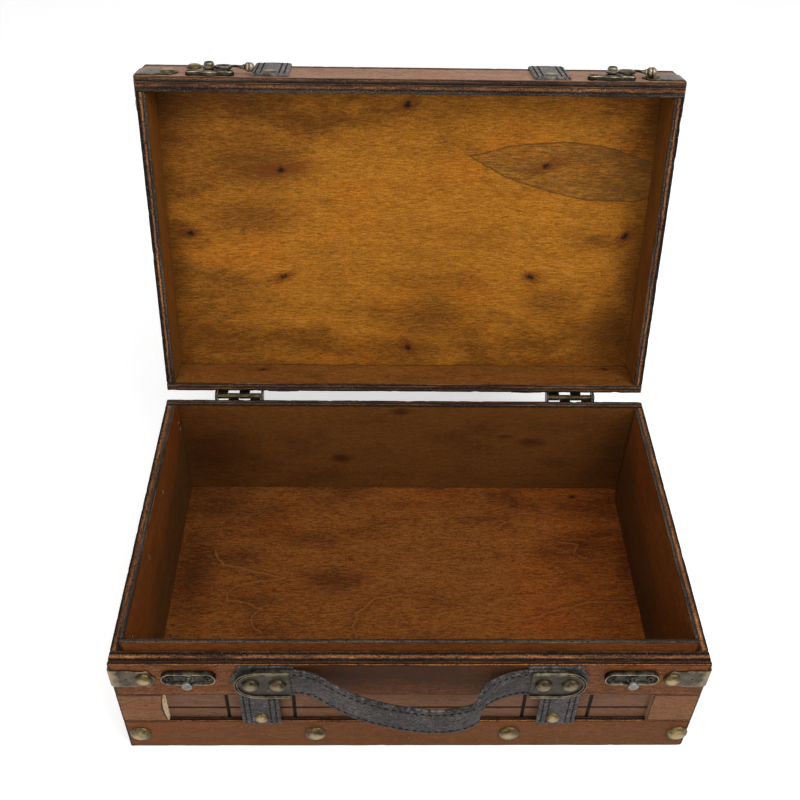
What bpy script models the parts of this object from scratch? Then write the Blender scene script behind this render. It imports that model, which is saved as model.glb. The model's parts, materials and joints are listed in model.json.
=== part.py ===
"""Wooden suitcase box with a hinged lid, leather straps, two swing latches and a leather handle.

Metres, +Z up. The origin is the centre of the base's underside and the front faces -Y. The lid is
built shut and then turned open about its hinge, which is how the box stands at rest.
"""
import math

import bmesh
import bpy
from mathutils import Matrix, Vector

# Case
WIDTH = 0.340
DEPTH = 0.219
BASE_HEIGHT = 0.0885
LID_HEIGHT = 0.0356
WALL = 0.006
FACING = 0.003
FLOOR_PANEL = 0.0035
LID_PANEL = 0.0043
EDGE_ROUND = 0.0004
SEAT = 0.0003
OVERRUN = 0.002

# Inner boards that guide the lid
LINER = 0.0025
LINER_STAND = 0.008
LINER_CHAMFER = 0.0012
LINER_RIGHT_SETBACK = 0.010

# Framing on the front
TOP_RAIL = 0.0311
BOTTOM_RAIL = 0.029
BLOCK_LENGTH = 0.0275
BLOCK_BOW = 0.0025
GROOVE_WIDTH = 0.0026
GROOVE_DEPTH = 0.0012
GROOVE_INNER_OFFSET = 0.0194
GROOVE_OUTER_OFFSET = 0.0199
GROOVE_LEVEL_SHARE = 0.335

# Hinges
HINGE_INSET = 0.051
HINGE_LENGTH = 0.031
HINGE_LEAF_HEIGHT = 0.015
HINGE_LEAF = 0.0011
HINGE_CURL = 0.0009
HINGE_SETBACK = 0.0039
PIN_RADIUS = 0.0009
KNUCKLE_COUNT = 4
KNUCKLE_GAP = 0.0003
STOP_EAR = 0.0012
STOP_EAR_REACH = 0.008
LID_OPEN_ANGLE = math.radians(103.2)

# Leather straps
STRAP_INSET = 0.0825
STRAP_WIDTH = 0.023
STRAP = 0.0016
STRAP_EDGE = 0.0004
STRAP_LOW = 0.029
STRAP_RIM_GAP = 0.003

# Handle
HANDLE_DROP = 0.0131
HANDLE_WIDTH = 0.0235
HANDLE_THICKNESS = 0.003
HANDLE_BULGE = 0.024
HANDLE_END_THICKNESS = 0.002
HANDLE_SPLIT_SHARE = 0.6765
HANDLE_STEPS = 40
PLATE_OFFSET = 0.0195
PLATE_LENGTH = 0.032
PLATE_HEIGHT = 0.0255
PLATE = 0.0016
PLATE_RIM = 0.0011
PLATE_GROOVE = 0.0005
PLATE_FIELD_DROP = 0.0007
PATCH = 0.0012
PATCH_OVERHANG = 0.0022
RIVET_SPACING = 0.0152
RIVET_RADIUS = 0.0050
RIVET_HEIGHT = 0.0025

# Corner brackets and nails
BRACKET = 0.0008
BRACKET_REACH = 0.0257
BRACKET_HEIGHT = 0.0156
BRACKET_OUTLINE_SHARES = (
    (0, 1), (0.5, 1), (0.54, 0.9), (0.75, 0.9), (0.79, 1), (0.84, 0.99), (0.9, 0.6), (1, 0),
)
BRACKET_BASE_DROP = 0.0131
BRACKET_LID_RISE = 0.0112
BOTTOM_NAIL_RADIUS = 0.0062
BOTTOM_NAIL_Z = 0.0158
NAIL_HEIGHT_SHARE = 0.5

# Latches
LATCH_INSET = 0.0458
CATCH_INSET = 0.0446
CATCH_LENGTH = 0.031
CATCH_HEIGHT = 0.0105
CATCH = 0.0022
CATCH_RIM = 0.0009
CATCH_RIM_RISE = 0.001
PEG_DROP = 0.0102
PEG_RADIUS = 0.0017
PEG_HEAD_RADIUS = 0.0031
PEG_HEAD = 0.0017
LATCH_PLATE_LENGTH = 0.0302
LATCH_PLATE_HEIGHT = 0.0088
LATCH_PLATE_WAIST = 0.0068
LATCH_PLATE = 0.0026
LATCH_PLATE_EASE = 0.0004
LATCH_LOBE_SHARES = ((0.56, 0.43), (0.36, 0.485))
PIVOT_RISE = 0.0053
POST_RADIUS = 0.0018
POST_COLLAR_RADIUS = 0.0031
POST_COLLAR = 0.0006
POST_CAP_RADIUS = 0.0032
POST_CAP = 0.0019
LEVER = 0.0019
LEVER_BOSS_RADIUS = 0.0041
LEVER_EYE_X = 0.0089
LEVER_EYE_LENGTH = 0.0118
LEVER_EYE_WIDTH = 0.0088
LEVER_EYE_BAND = 0.0021
LEVER_NECK_WIDTH = 0.0023
LEVER_ROOT_SHARES = (0.3, 0.225)
LEVER_TAIL_RISE = 0.0008
LEVER_KNOB_START = 0.0183
LEVER_KNOB_LENGTH = 0.0095
LEVER_KNOB_RADIUS = 0.0026
LEVER_KNOB_SHARES = (
    (0, 0.38), (0.27, 0.46), (0.48, 0.92), (0.62, 1), (0.8, 0.96), (0.93, 0.66), (1, 0),
)
LEVER_NOTCH_SWEEP = 40

# The handle seen from above, as shares of half its free span and of its bulge
HANDLE_PATH_SHARES = (
    (-1.00, 0.00), (-0.90, 0.02), (-0.80, 0.10), (-0.69, 0.28), (-0.53, 0.53), (-0.37, 0.71),
    (-0.18, 0.86), (0.03, 0.96), (0.20, 1.00), (0.36, 0.96), (0.48, 0.87), (0.55, 0.73),
    (0.56, 0.58), (0.585, 0.44), (0.65, 0.28), (0.73, 0.16), (0.82, 0.07), (0.91, 0.02), (1.00, 0.00),
)
# Large nails along the bottom rail, as shares of the case's width
BOTTOM_NAIL_SHARES = (-0.4756, -0.1656, 0.1803, 0.4826)
# A domed nail head from its edge to its crown, as shares of its radius and height
DOME_PROFILE_SHARES = ((1.0, 0.0), (1.0, 0.12), (0.82, 0.56), (0.48, 0.88), (0.0, 1.0))

# Places worked out from the sizes above
FRONT = -DEPTH / 2
BACK = DEPTH / 2
SIDE = WIDTH / 2
HINGE_X = SIDE - HINGE_INSET
STRAP_X = SIDE - STRAP_INSET
LATCH_X = SIDE - LATCH_INSET
CATCH_X = SIDE - CATCH_INSET
PLATE_INNER_X = STRAP_X - PLATE_OFFSET
RIM = BASE_HEIGHT
LID_RIM = RIM + SEAT
HANDLE_Z = RIM - HANDLE_DROP
BRACKET_BASE_Z = RIM - BRACKET_BASE_DROP
LID_TOP = RIM + LID_HEIGHT
PANEL_FACE = FRONT + FACING + SEAT
FRONT_INSIDE = PANEL_FACE + WALL
BACK_INSIDE = BACK - WALL
SIDE_INSIDE = SIDE - WALL
PIN_Y = BACK + HINGE_SETBACK
CATCH_Z = RIM - PEG_DROP
PIVOT_Z = RIM + PIVOT_RISE
LEVER_BACK = LATCH_PLATE + POST_COLLAR + 2 * SEAT
LEVER_FRONT = LEVER_BACK + LEVER
HANDLE_OUT = PATCH + 2 * SEAT + HANDLE_END_THICKNESS / 2
STRAP_TOP = HANDLE_Z - HANDLE_WIDTH / 2 - SEAT

bodies = {}
materials = {}


def clear_scene():
    for item in list(bpy.data.objects):
        bpy.data.objects.remove(item, do_unlink=True)


def make_material(name, colour, roughness, metallic):
    material = bpy.data.materials.new(name)
    material.use_nodes = True
    shader = material.node_tree.nodes["Principled BSDF"]
    shader.inputs["Base Color"].default_value = (*colour, 1.0)
    shader.inputs["Roughness"].default_value = roughness
    shader.inputs["Metallic"].default_value = metallic
    materials[name] = material


def make_empty(name, place, parent=None):
    empty = bpy.data.objects.new(name, None)
    bpy.context.collection.objects.link(empty)
    empty.location = place
    if parent is not None:
        empty.parent = parent
        empty.matrix_parent_inverse = Matrix.Translation(-parent.location)
    bodies[name] = empty
    return empty


def add_object(name, mesh, material, body=None, smooth=False):
    """Put a mesh given in the shut box's coordinates under the empty of its body."""
    item = bpy.data.objects.new(name, mesh)
    bpy.context.collection.objects.link(item)
    mesh.materials.clear()
    mesh.materials.append(materials[material])
    if smooth:
        mesh.shade_smooth()
        mesh.set_sharp_from_angle(angle=math.radians(35))
    if body is not None:
        parent = bodies[body]
        item.parent = parent
        item.matrix_parent_inverse = Matrix.Translation(-parent.location)
    return item


def mesh_from(build):
    """Run a function that fills a bmesh, and return the closed mesh it made."""
    work = bmesh.new()
    build(work)
    bmesh.ops.remove_doubles(work, verts=work.verts, dist=SEAT / 100)
    bmesh.ops.recalc_face_normals(work, faces=work.faces)
    mesh = bpy.data.meshes.new("solid")
    work.to_mesh(mesh)
    work.free()
    return mesh


def boolean(base, tool, operation):
    """Cut, join or keep the overlap of two meshes, and return the new mesh."""
    first = bpy.data.objects.new("first", base)
    second = bpy.data.objects.new("second", tool)
    for item in (first, second):
        bpy.context.collection.objects.link(item)
    modifier = first.modifiers.new("cut", "BOOLEAN")
    modifier.object = second
    modifier.operation = operation
    modifier.solver = "EXACT"
    graph = bpy.context.evaluated_depsgraph_get()
    result = bpy.data.meshes.new_from_object(first.evaluated_get(graph))
    for item in (first, second):
        bpy.data.objects.remove(item, do_unlink=True)
    return result


def block(low, high, edge=0.0):
    """A box between two corners, with its edges eased."""
    def build(work):
        size = Vector(high) - Vector(low)
        centre = (Vector(high) + Vector(low)) / 2
        place = Matrix.Translation(centre) @ Matrix.Diagonal((*size, 1.0))
        bmesh.ops.create_cube(work, size=1.0, matrix=place)
        if edge > 0.0:
            bmesh.ops.bevel(work, geom=work.edges[:], offset=edge, segments=1, affect="EDGES")
    return mesh_from(build)


def prism(outline, to_space, near, far):
    """Extrude a flat outline. to_space turns (u, v, height) into a point."""
    def build(work):
        low = [work.verts.new(to_space(u, v, near)) for u, v in outline]
        high = [work.verts.new(to_space(u, v, far)) for u, v in outline]
        work.faces.new(low)
        work.faces.new(reversed(high))
        for index in range(len(outline)):
            following = (index + 1) % len(outline)
            work.faces.new((low[following], low[index], high[index], high[following]))
    return mesh_from(build)


def stepped_plate(outline, to_space, near, far, steps):
    """A plate whose face is drawn in and stepped; each step is (inset, change of height)."""
    def build(work):
        rings = [(outline, near), (outline, far)]
        height = far
        shape = outline
        for inset, change in steps:
            shape = shrink(shape, inset)
            height = height + change
            rings.append((shape, height))
        rows = [[work.verts.new(to_space(u, v, level)) for u, v in ring] for ring, level in rings]
        work.faces.new(rows[0])
        work.faces.new(reversed(rows[-1]))
        for below, above in zip(rows, rows[1:]):
            for index in range(len(below)):
                following = (index + 1) % len(below)
                work.faces.new((below[following], below[index], above[index], above[following]))
    return mesh_from(build)


def shrink(outline, inset):
    """Move each side of a closed outline inwards by the same amount."""
    area = sum(a[0] * b[1] - b[0] * a[1] for a, b in zip(outline, outline[1:] + outline[:1]))
    turn = 1 if area > 0 else -1
    points = []
    count = len(outline)
    for index in range(count):
        before = Vector(outline[index - 1])
        here = Vector(outline[index])
        after = Vector(outline[(index + 1) % count])
        arriving = (here - before).normalized()
        leaving = (after - here).normalized()
        side_a = Vector((-arriving.y, arriving.x)) * turn
        side_b = Vector((-leaving.y, leaving.x)) * turn
        middle = (side_a + side_b).normalized()
        points.append(tuple(here + middle * (inset / max(middle.dot(side_a), 0.3))))
    return points


def arc(centre, radius, start, stop, count):
    """Points on an arc, angles in degrees."""
    points = []
    for index in range(count + 1):
        angle = math.radians(start + (stop - start) * index / count)
        points.append((centre[0] + radius * math.cos(angle), centre[1] + radius * math.sin(angle)))
    return points


def ellipse(centre, half_length, half_width, count):
    turns = [2 * math.pi * index / count for index in range(count)]
    return [(centre[0] + half_length * math.cos(a), centre[1] + half_width * math.sin(a)) for a in turns]


def stadium(centre, length, height, count=8):
    """A slot-shaped outline with round ends, lying along u."""
    radius = height / 2
    reach = length / 2 - radius
    right = arc((centre[0] + reach, centre[1]), radius, -90, 90, count)
    left = arc((centre[0] - reach, centre[1]), radius, 90, 270, count)
    return right + left


def on_front(u, v, height):
    """A point on the case's front; u along X, v up, height out from the facing."""
    return (u, FRONT - SEAT - height, v)


def turned(profile, to_space, centre, count=12):
    """Turn a (radius, height) profile about an axis that stands on a surface."""
    def build(work):
        rows = []
        for radius, height in profile:
            if radius == 0.0:
                pole = work.verts.new(to_space(centre[0], centre[1], height))
                rows.append([pole] * count)
            else:
                ring = ellipse(centre, radius, radius, count)
                rows.append([work.verts.new(to_space(u, v, height)) for u, v in ring])
        for below, above in zip(rows, rows[1:]):
            for index in range(count):
                following = (index + 1) % count
                corners = (below[index], below[following], above[following], above[index])
                work.faces.new(tuple(dict.fromkeys(corners)))
        for row in (rows[0], rows[-1]):
            if row[0] is not row[1]:
                work.faces.new(row)
    return mesh_from(build)


def dome(to_space, centre, radius, seat_height, height, count=14):
    """A domed head that sits a seat's gap above what it holds."""
    base = seat_height + SEAT
    profile = [(radius * share, base + height * lift) for share, lift in DOME_PROFILE_SHARES]
    return turned(profile, to_space, centre, count)


def make_materials():
    make_material("stained_wood", (0.20, 0.075, 0.030), 0.45, 0.0)
    make_material("inner_wood", (0.26, 0.105, 0.028), 0.50, 0.0)
    make_material("leather", (0.045, 0.036, 0.033), 0.55, 0.0)
    make_material("antique_brass", (0.30, 0.25, 0.15), 0.40, 0.9)
    make_material("dark_metal", (0.07, 0.066, 0.058), 0.45, 0.8)


def make_base_walls():
    floor_low = (-SIDE_INSIDE + SEAT, FRONT_INSIDE + SEAT, 0)
    floor_high = (SIDE_INSIDE - SEAT, BACK_INSIDE - SEAT, FLOOR_PANEL)
    add_object("base_bottom_panel", block(floor_low, floor_high), "inner_wood")
    add_object("base_front_wall", grooved_wall(), "stained_wood")
    back_wall = block((-SIDE, BACK_INSIDE, 0), (SIDE, BACK, RIM), EDGE_ROUND)
    add_object("base_back_wall", back_wall, "stained_wood")
    for name, sign in (("base_left_wall", -1), ("base_right_wall", 1)):
        edges = sorted((sign * SIDE_INSIDE, sign * SIDE))
        low = (edges[0], FRONT_INSIDE + SEAT, 0)
        high = (edges[1], BACK_INSIDE - SEAT, RIM)
        add_object(name, block(low, high, EDGE_ROUND), "stained_wood")


def grooved_wall():
    """The front wall, with grooves cut in the part that shows between the framing."""
    wall = block((-SIDE, PANEL_FACE, 0), (SIDE, FRONT_INSIDE, RIM))
    level = BOTTOM_RAIL + GROOVE_LEVEL_SHARE * (RIM - TOP_RAIL - BOTTOM_RAIL)
    reach = SIDE - BLOCK_LENGTH - OVERRUN
    cutters = [groove_cutter((-reach, level), (reach, level))]
    for sign in (-1, 1):
        for x in (STRAP_X - GROOVE_INNER_OFFSET, STRAP_X + GROOVE_OUTER_OFFSET):
            low = (sign * x, BOTTOM_RAIL - OVERRUN)
            high = (sign * x, RIM - TOP_RAIL + OVERRUN)
            cutters.append(groove_cutter(low, high))
    for cutter in cutters:
        wall = boolean(wall, cutter, "DIFFERENCE")
    return wall


def groove_cutter(start, stop):
    """A V-shaped bar along the panel's face, for one groove."""
    along = (Vector(stop) - Vector(start)).normalized()
    across = Vector((-along.y, along.x)) * (GROOVE_WIDTH / 2)

    def build(work):
        ends = []
        for point in (Vector(start), Vector(stop)):
            edge_a = point + across
            edge_b = point - across
            ends.append([
                work.verts.new((edge_a.x, PANEL_FACE - OVERRUN, edge_a.y)),
                work.verts.new((edge_a.x, PANEL_FACE, edge_a.y)),
                work.verts.new((point.x, PANEL_FACE + GROOVE_DEPTH, point.y)),
                work.verts.new((edge_b.x, PANEL_FACE, edge_b.y)),
                work.verts.new((edge_b.x, PANEL_FACE - OVERRUN, edge_b.y)),
            ])
        work.faces.new(ends[0])
        work.faces.new(reversed(ends[1]))
        for index in range(len(ends[0])):
            following = (index + 1) % len(ends[0])
            work.faces.new((ends[0][index], ends[0][following], ends[1][following], ends[1][index]))
    return mesh_from(build)


def make_front_framing():
    rail_back = FRONT + FACING
    top_rail = block((-SIDE, FRONT, RIM - TOP_RAIL), (SIDE, rail_back, RIM), EDGE_ROUND)
    add_object("front_top_rail", top_rail, "stained_wood")
    bottom_rail = block((-SIDE, FRONT, 0), (SIDE, rail_back, BOTTOM_RAIL), EDGE_ROUND)
    add_object("front_bottom_rail", bottom_rail, "stained_wood")
    low = BOTTOM_RAIL + SEAT
    high = RIM - TOP_RAIL - SEAT
    for name, sign, bow in (("front_left_block", -1, BLOCK_BOW), ("front_right_block", 1, 0.0)):
        inner = SIDE - BLOCK_LENGTH
        steps = 6 if bow else 1
        edge = []
        for index in range(steps + 1):
            share = index / steps
            drop = bow * 4 * share * (1 - share)
            edge.append((sign * (inner + drop), high + (low - high) * share))
        outline = edge + [(sign * SIDE, low), (sign * SIDE, high)]
        mesh = prism(outline, lambda u, v, height: (u, FRONT + height, v), 0, FACING)
        add_object(name, mesh, "stained_wood")


def make_liners():
    """Thin boards inside the walls; their outer top edge is chamfered to lead the lid on."""
    top = RIM + LINER_STAND
    low = FLOOR_PANEL + SEAT
    front_outer = FRONT_INSIDE + SEAT
    front_inner = front_outer + LINER
    side_outer = SIDE_INSIDE - SEAT
    side_inner = side_outer - LINER

    def section(outer, inner):
        """The board's outline across its thickness, from the floor up."""
        step = LINER_CHAMFER if inner > outer else -LINER_CHAMFER
        return [(outer, low), (inner, low), (inner, top), (outer + step, top), (outer, top - LINER_CHAMFER)]

    front_section = section(front_outer, front_inner)
    front = prism(front_section, lambda u, v, x: (x, u, v), -side_outer, side_outer)
    add_object("liner_front", front, "inner_wood")
    for name, sign, setback in (("liner_left", -1, SEAT), ("liner_right", 1, LINER_RIGHT_SETBACK)):
        shape = section(sign * side_outer, sign * side_inner)
        start = front_inner + SEAT
        stop = BACK_INSIDE - setback
        side = prism(shape, lambda u, v, y: (u, y, v), start, stop)
        add_object(name, side, "inner_wood")


def make_lid_walls():
    under_panel = LID_TOP - LID_PANEL - SEAT
    panel = block((-SIDE, FRONT, LID_TOP - LID_PANEL), (SIDE, BACK, LID_TOP), EDGE_ROUND)
    add_object("lid_top_panel", panel, "stained_wood", "lid_hinge_axis")
    facing = block((-SIDE, FRONT, LID_RIM), (SIDE, FRONT + FACING, under_panel), EDGE_ROUND)
    add_object("lid_front_facing", facing, "stained_wood", "lid_hinge_axis")
    front = block((-SIDE, PANEL_FACE, LID_RIM), (SIDE, FRONT_INSIDE, under_panel), EDGE_ROUND)
    add_object("lid_front_wall", front, "stained_wood", "lid_hinge_axis")
    back = block((-SIDE, BACK_INSIDE, LID_RIM), (SIDE, BACK, under_panel), EDGE_ROUND)
    add_object("lid_back_wall", back, "stained_wood", "lid_hinge_axis")
    for name, sign in (("lid_left_wall", -1), ("lid_right_wall", 1)):
        edges = sorted((sign * SIDE_INSIDE, sign * SIDE))
        low = (edges[0], FRONT_INSIDE + SEAT, LID_RIM)
        high = (edges[1], BACK_INSIDE - SEAT, under_panel)
        add_object(name, block(low, high, EDGE_ROUND), "stained_wood", "lid_hinge_axis")


def strap_edges(sign):
    return sorted((sign * (STRAP_X - STRAP_WIDTH / 2), sign * (STRAP_X + STRAP_WIDTH / 2)))


def make_straps():
    """Base straps are flat; each lid strap runs up the front, over the top and down the back."""
    for word, sign in (("left", -1), ("right", 1)):
        x_low, x_high = strap_edges(sign)
        low = (x_low, FRONT - SEAT - STRAP, STRAP_LOW)
        high = (x_high, FRONT - SEAT, STRAP_TOP)
        add_object("base_strap_" + word, block(low, high, STRAP_EDGE), "leather")
        low = (x_low, BACK + SEAT, STRAP_LOW)
        high = (x_high, BACK + SEAT + STRAP, RIM - STRAP_RIM_GAP)
        add_object("base_back_strap_" + word, block(low, high, STRAP_EDGE), "leather")
        inner = lid_wrap(SEAT)
        outer = lid_wrap(SEAT + STRAP)
        shape = inner + outer[::-1]
        mesh = prism(shape, lambda u, v, x: (x, u, v), x_low, x_high)
        add_object("lid_strap_" + word, mesh, "leather", "lid_hinge_axis")


def lid_wrap(offset):
    """The line a strap follows around the shut lid, from its front rim over to its back rim."""
    start = LID_RIM + STRAP_RIM_GAP
    front_corner = arc((FRONT, LID_TOP), offset, 180, 90, 3)
    back_corner = arc((BACK, LID_TOP), offset, 90, 0, 3)
    return [(FRONT - offset, start)] + front_corner + back_corner + [(BACK + offset, start)]


def bracket_half():
    """One leg of a corner bracket, from the corner out to its pointed tip and back."""
    half = BRACKET_HEIGHT / 2
    upper = [(BRACKET_REACH * along, half * up) for along, up in BRACKET_OUTLINE_SHARES]
    lower = [(u, -v) for u, v in reversed(upper[:-1])]
    return upper + lower


def wrapped_bracket(sign, middle_z):
    """A plate folded around a front corner of the case; sign picks the left or right corner."""
    half = bracket_half()

    def build(work):
        rings = {}
        for skin, offset in (("inner", SEAT), ("outer", SEAT + BRACKET)):
            front_leg = []
            side_leg = []
            for u, v in half:
                front_x = sign * (SIDE - u) if u > 0 else sign * (SIDE + offset)
                side_y = FRONT + u if u > 0 else FRONT - offset
                front_leg.append(work.verts.new((front_x, FRONT - offset, middle_z + v)))
                side_leg.append(work.verts.new((sign * (SIDE + offset), side_y, middle_z + v)))
            side_leg[0] = front_leg[0]
            side_leg[-1] = front_leg[-1]
            rings[skin] = (front_leg, side_leg)
        for leg in (0, 1):
            inner = rings["inner"][leg]
            outer = rings["outer"][leg]
            work.faces.new(inner)
            work.faces.new(outer)
            for index in range(len(inner) - 1):
                work.faces.new((inner[index], inner[index + 1], outer[index + 1], outer[index]))
        loose = [vert for vert in work.verts if not vert.link_faces]
        bmesh.ops.delete(work, geom=loose, context="VERTS")
    return mesh_from(build)


def make_corner_hardware():
    for word, sign in (("left", -1), ("right", 1)):
        base = wrapped_bracket(sign, BRACKET_BASE_Z)
        add_object("base_corner_bracket_" + word, base, "dark_metal")
        lid = wrapped_bracket(sign, RIM + BRACKET_LID_RISE)
        add_object("lid_corner_bracket_" + word, lid, "dark_metal", "lid_hinge_axis")


def make_bottom_nails():
    for index, share in enumerate(BOTTOM_NAIL_SHARES):
        place = (share * WIDTH, BOTTOM_NAIL_Z)
        height = BOTTOM_NAIL_RADIUS * NAIL_HEIGHT_SHARE
        head = dome(on_front, place, BOTTOM_NAIL_RADIUS, 0, height)
        add_object("bottom_rail_nail_" + str(index + 1), head, "antique_brass", smooth=True)


def make_catches():
    for word, sign in (("left", -1), ("right", 1)):
        centre = (sign * CATCH_X, CATCH_Z)
        outline = stadium(centre, CATCH_LENGTH, CATCH_HEIGHT)
        top = CATCH + CATCH_RIM_RISE
        steps = ((CATCH_RIM, 0), (SEAT, -CATCH_RIM_RISE))
        plate = stepped_plate(outline, on_front, 0, top, steps)
        reach = PEG_RADIUS + SEAT
        bore = turned([(reach, -OVERRUN), (reach, top + OVERRUN)], on_front, centre)
        plate = boolean(plate, bore, "DIFFERENCE")
        add_object("catch_plate_" + word, plate, "dark_metal")
        head_back = LEVER_FRONT + SEAT
        chamfer = PEG_HEAD / 3
        profile = [
            (PEG_RADIUS, 0), (PEG_RADIUS, head_back), (PEG_HEAD_RADIUS, head_back),
            (PEG_HEAD_RADIUS, head_back + PEG_HEAD - chamfer),
            (PEG_HEAD_RADIUS - chamfer, head_back + PEG_HEAD),
        ]
        peg = turned(profile, on_front, centre, 14)
        add_object("catch_peg_" + word, peg, "antique_brass", smooth=True)


def latch_plate_outline(centre):
    """A long plate with three lobes, the middle one under the pivot."""
    half = LATCH_PLATE_LENGTH / 2
    tall = LATCH_PLATE_HEIGHT / 2
    waist = LATCH_PLATE_WAIST / 2
    right_end = arc((half - waist, 0), waist, -62, 62, 6)
    upper = [(half * along, LATCH_PLATE_HEIGHT * up) for along, up in LATCH_LOBE_SHARES] + [(0, tall)]
    left = [(-u, v) for u, v in reversed(upper[:-1])]
    left_end = [(-u, v) for u, v in reversed(right_end)]
    lower = [(u, -v) for u, v in reversed(upper + left)]
    outline = right_end + upper + left + left_end + lower
    return [(centre[0] + u, centre[1] + v) for u, v in outline]


def make_latch_mounts():
    for word, sign in (("left", -1), ("right", 1)):
        centre = (sign * LATCH_X, PIVOT_Z)
        steps = ((LATCH_PLATE_EASE, LATCH_PLATE_EASE),)
        outline = latch_plate_outline(centre)
        plate = stepped_plate(outline, on_front, 0, LATCH_PLATE - LATCH_PLATE_EASE, steps)
        add_object("latch_plate_" + word, plate, "dark_metal", "lid_hinge_axis")
        collar_base = LATCH_PLATE + SEAT
        collar_top = collar_base + POST_COLLAR - SEAT
        cap_back = LEVER_FRONT + SEAT
        profile = [
            (POST_COLLAR_RADIUS, collar_base), (POST_COLLAR_RADIUS, collar_top),
            (POST_RADIUS, collar_top), (POST_RADIUS, cap_back), (POST_CAP_RADIUS, cap_back),
            (POST_CAP_RADIUS, cap_back + POST_CAP / 2), (POST_CAP_RADIUS / 2, cap_back + POST_CAP),
        ]
        post = turned(profile, on_front, centre, 14)
        add_object("latch_post_" + word, post, "antique_brass", "lid_hinge_axis", smooth=True)


def band(points, width):
    """The outline of a strip of even width along a line."""
    left = []
    right = []
    for index, point in enumerate(points):
        before = Vector(points[max(index - 1, 0)])
        after = Vector(points[min(index + 1, len(points) - 1)])
        along = (after - before).normalized()
        across = Vector((-along.y, along.x)) * (width / 2)
        left.append(tuple(Vector(point) + across))
        right.append(tuple(Vector(point) - across))
    return left + right[::-1]


def make_levers():
    """Cast levers: boss on the pivot, open eye, a neck notched for the peg, and an acorn knob."""
    peg_distance = math.hypot(PEG_DROP + PIVOT_RISE, CATCH_X - LATCH_X)
    for word, sign in (("left", -1), ("right", 1)):
        centre = (sign * LATCH_X, PIVOT_Z)

        def place(u, v, height, centre=centre):
            return on_front(centre[0] + u, centre[1] + v, height)

        rims = [(LEVER_BOSS_RADIUS, LEVER_BACK), (LEVER_BOSS_RADIUS, LEVER_FRONT)]
        boss = turned(rims, place, (0, 0), 16)
        half_length = LEVER_EYE_LENGTH / 2
        half_width = LEVER_EYE_WIDTH / 2
        eye_back = LEVER_BACK + SEAT / 2
        eye_front = LEVER_FRONT - SEAT / 2
        eye = prism(ellipse((LEVER_EYE_X, 0), half_length, half_width, 20), place, eye_back, eye_front)
        notch = PEG_RADIUS + SEAT + LEVER_NECK_WIDTH / 2
        around_peg = arc((peg_distance, 0), notch, 150, 20, 7)
        root_along, root_up = LEVER_ROOT_SHARES
        root = (LEVER_EYE_X + root_along * LEVER_EYE_LENGTH, root_up * LEVER_EYE_WIDTH)
        tail = (LEVER_KNOB_START + LEVER_KNOB_LENGTH / 2, LEVER_TAIL_RISE)
        strip = band([root] + around_peg + [tail], LEVER_NECK_WIDTH)
        neck = prism(strip, place, LEVER_BACK + SEAT, LEVER_FRONT - SEAT)
        lever = boolean(boss, eye, "UNION")
        lever = boolean(lever, neck, "UNION")
        middle = (LEVER_BACK + LEVER_FRONT) / 2

        def knob_place(u, v, along, place=place, middle=middle):
            return place(LEVER_KNOB_START + along, LEVER_TAIL_RISE + u, middle + v)

        profile = [(LEVER_KNOB_RADIUS * out, LEVER_KNOB_LENGTH * along) for along, out in LEVER_KNOB_SHARES]
        knob = turned(profile, knob_place, (0, 0))
        lever = boolean(lever, knob, "UNION")
        hole_length = half_length - LEVER_EYE_BAND
        hole_width = half_width - LEVER_EYE_BAND
        eye_hole = ellipse((LEVER_EYE_X, 0), hole_length, hole_width, 16)
        cut_back = LEVER_BACK - OVERRUN
        cut_front = LEVER_FRONT + OVERRUN
        lever = boolean(lever, prism(eye_hole, place, cut_back, cut_front), "DIFFERENCE")
        bore = ellipse((0, 0), POST_RADIUS + SEAT, POST_RADIUS + SEAT, 14)
        lever = boolean(lever, prism(bore, place, cut_back, cut_front), "DIFFERENCE")
        path = peg_path(peg_distance, PEG_RADIUS + SEAT)
        lever = boolean(lever, prism(path, place, cut_back, cut_front), "DIFFERENCE")
        add_object("latch_lever_" + word, lever, "antique_brass", "latch_axis_" + word, smooth=True)


def peg_path(distance, reach):
    """The room the peg needs in the lever as the lever swings onto it."""
    outer = arc((0, 0), distance + reach, -LEVER_NOTCH_SWEEP, 0, 6)
    around = arc((distance, 0), reach, 0, 180, 8)[1:-1]
    inner = arc((0, 0), distance - reach, 0, -LEVER_NOTCH_SWEEP, 6)
    return outer + around + inner


def plate_outline(sign, inner_x, length, height, middle_z):
    """D shape: straight inner end, round outer end."""
    radius = height / 2
    outer = arc((inner_x + length - radius, 0), radius, 90, -90, 10)
    outline = [(inner_x, -radius), (inner_x, radius)] + outer
    return [(sign * u, middle_z + v) for u, v in outline]


def handle_plate(sign, back):
    """A plate with a double rim along its long sides and round end, open at the straight end."""
    face = back + PLATE
    outline = plate_outline(sign, PLATE_INNER_X, PLATE_LENGTH, PLATE_HEIGHT, HANDLE_Z)
    plate = prism(outline, on_front, back, face)
    inset = 2 * PLATE_RIM + PLATE_GROOVE
    mouth = PLATE_INNER_X - OVERRUN
    length = PLATE_LENGTH + OVERRUN - inset
    field = plate_outline(sign, mouth, length, PLATE_HEIGHT - 2 * inset, HANDLE_Z)
    plate = boolean(plate, prism(field, on_front, face - PLATE_FIELD_DROP, face + OVERRUN), "DIFFERENCE")
    radius = PLATE_HEIGHT / 2 - PLATE_RIM - PLATE_GROOVE / 2
    centre = PLATE_INNER_X + PLATE_LENGTH - PLATE_HEIGHT / 2
    line = [(mouth, radius)] + arc((centre, 0), radius, 90, -90, 10) + [(mouth, -radius)]
    groove = [(sign * u, HANDLE_Z + v) for u, v in band(line, PLATE_GROOVE)]
    return boolean(plate, prism(groove, on_front, face - PLATE_GROOVE, face + OVERRUN), "DIFFERENCE")


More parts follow.
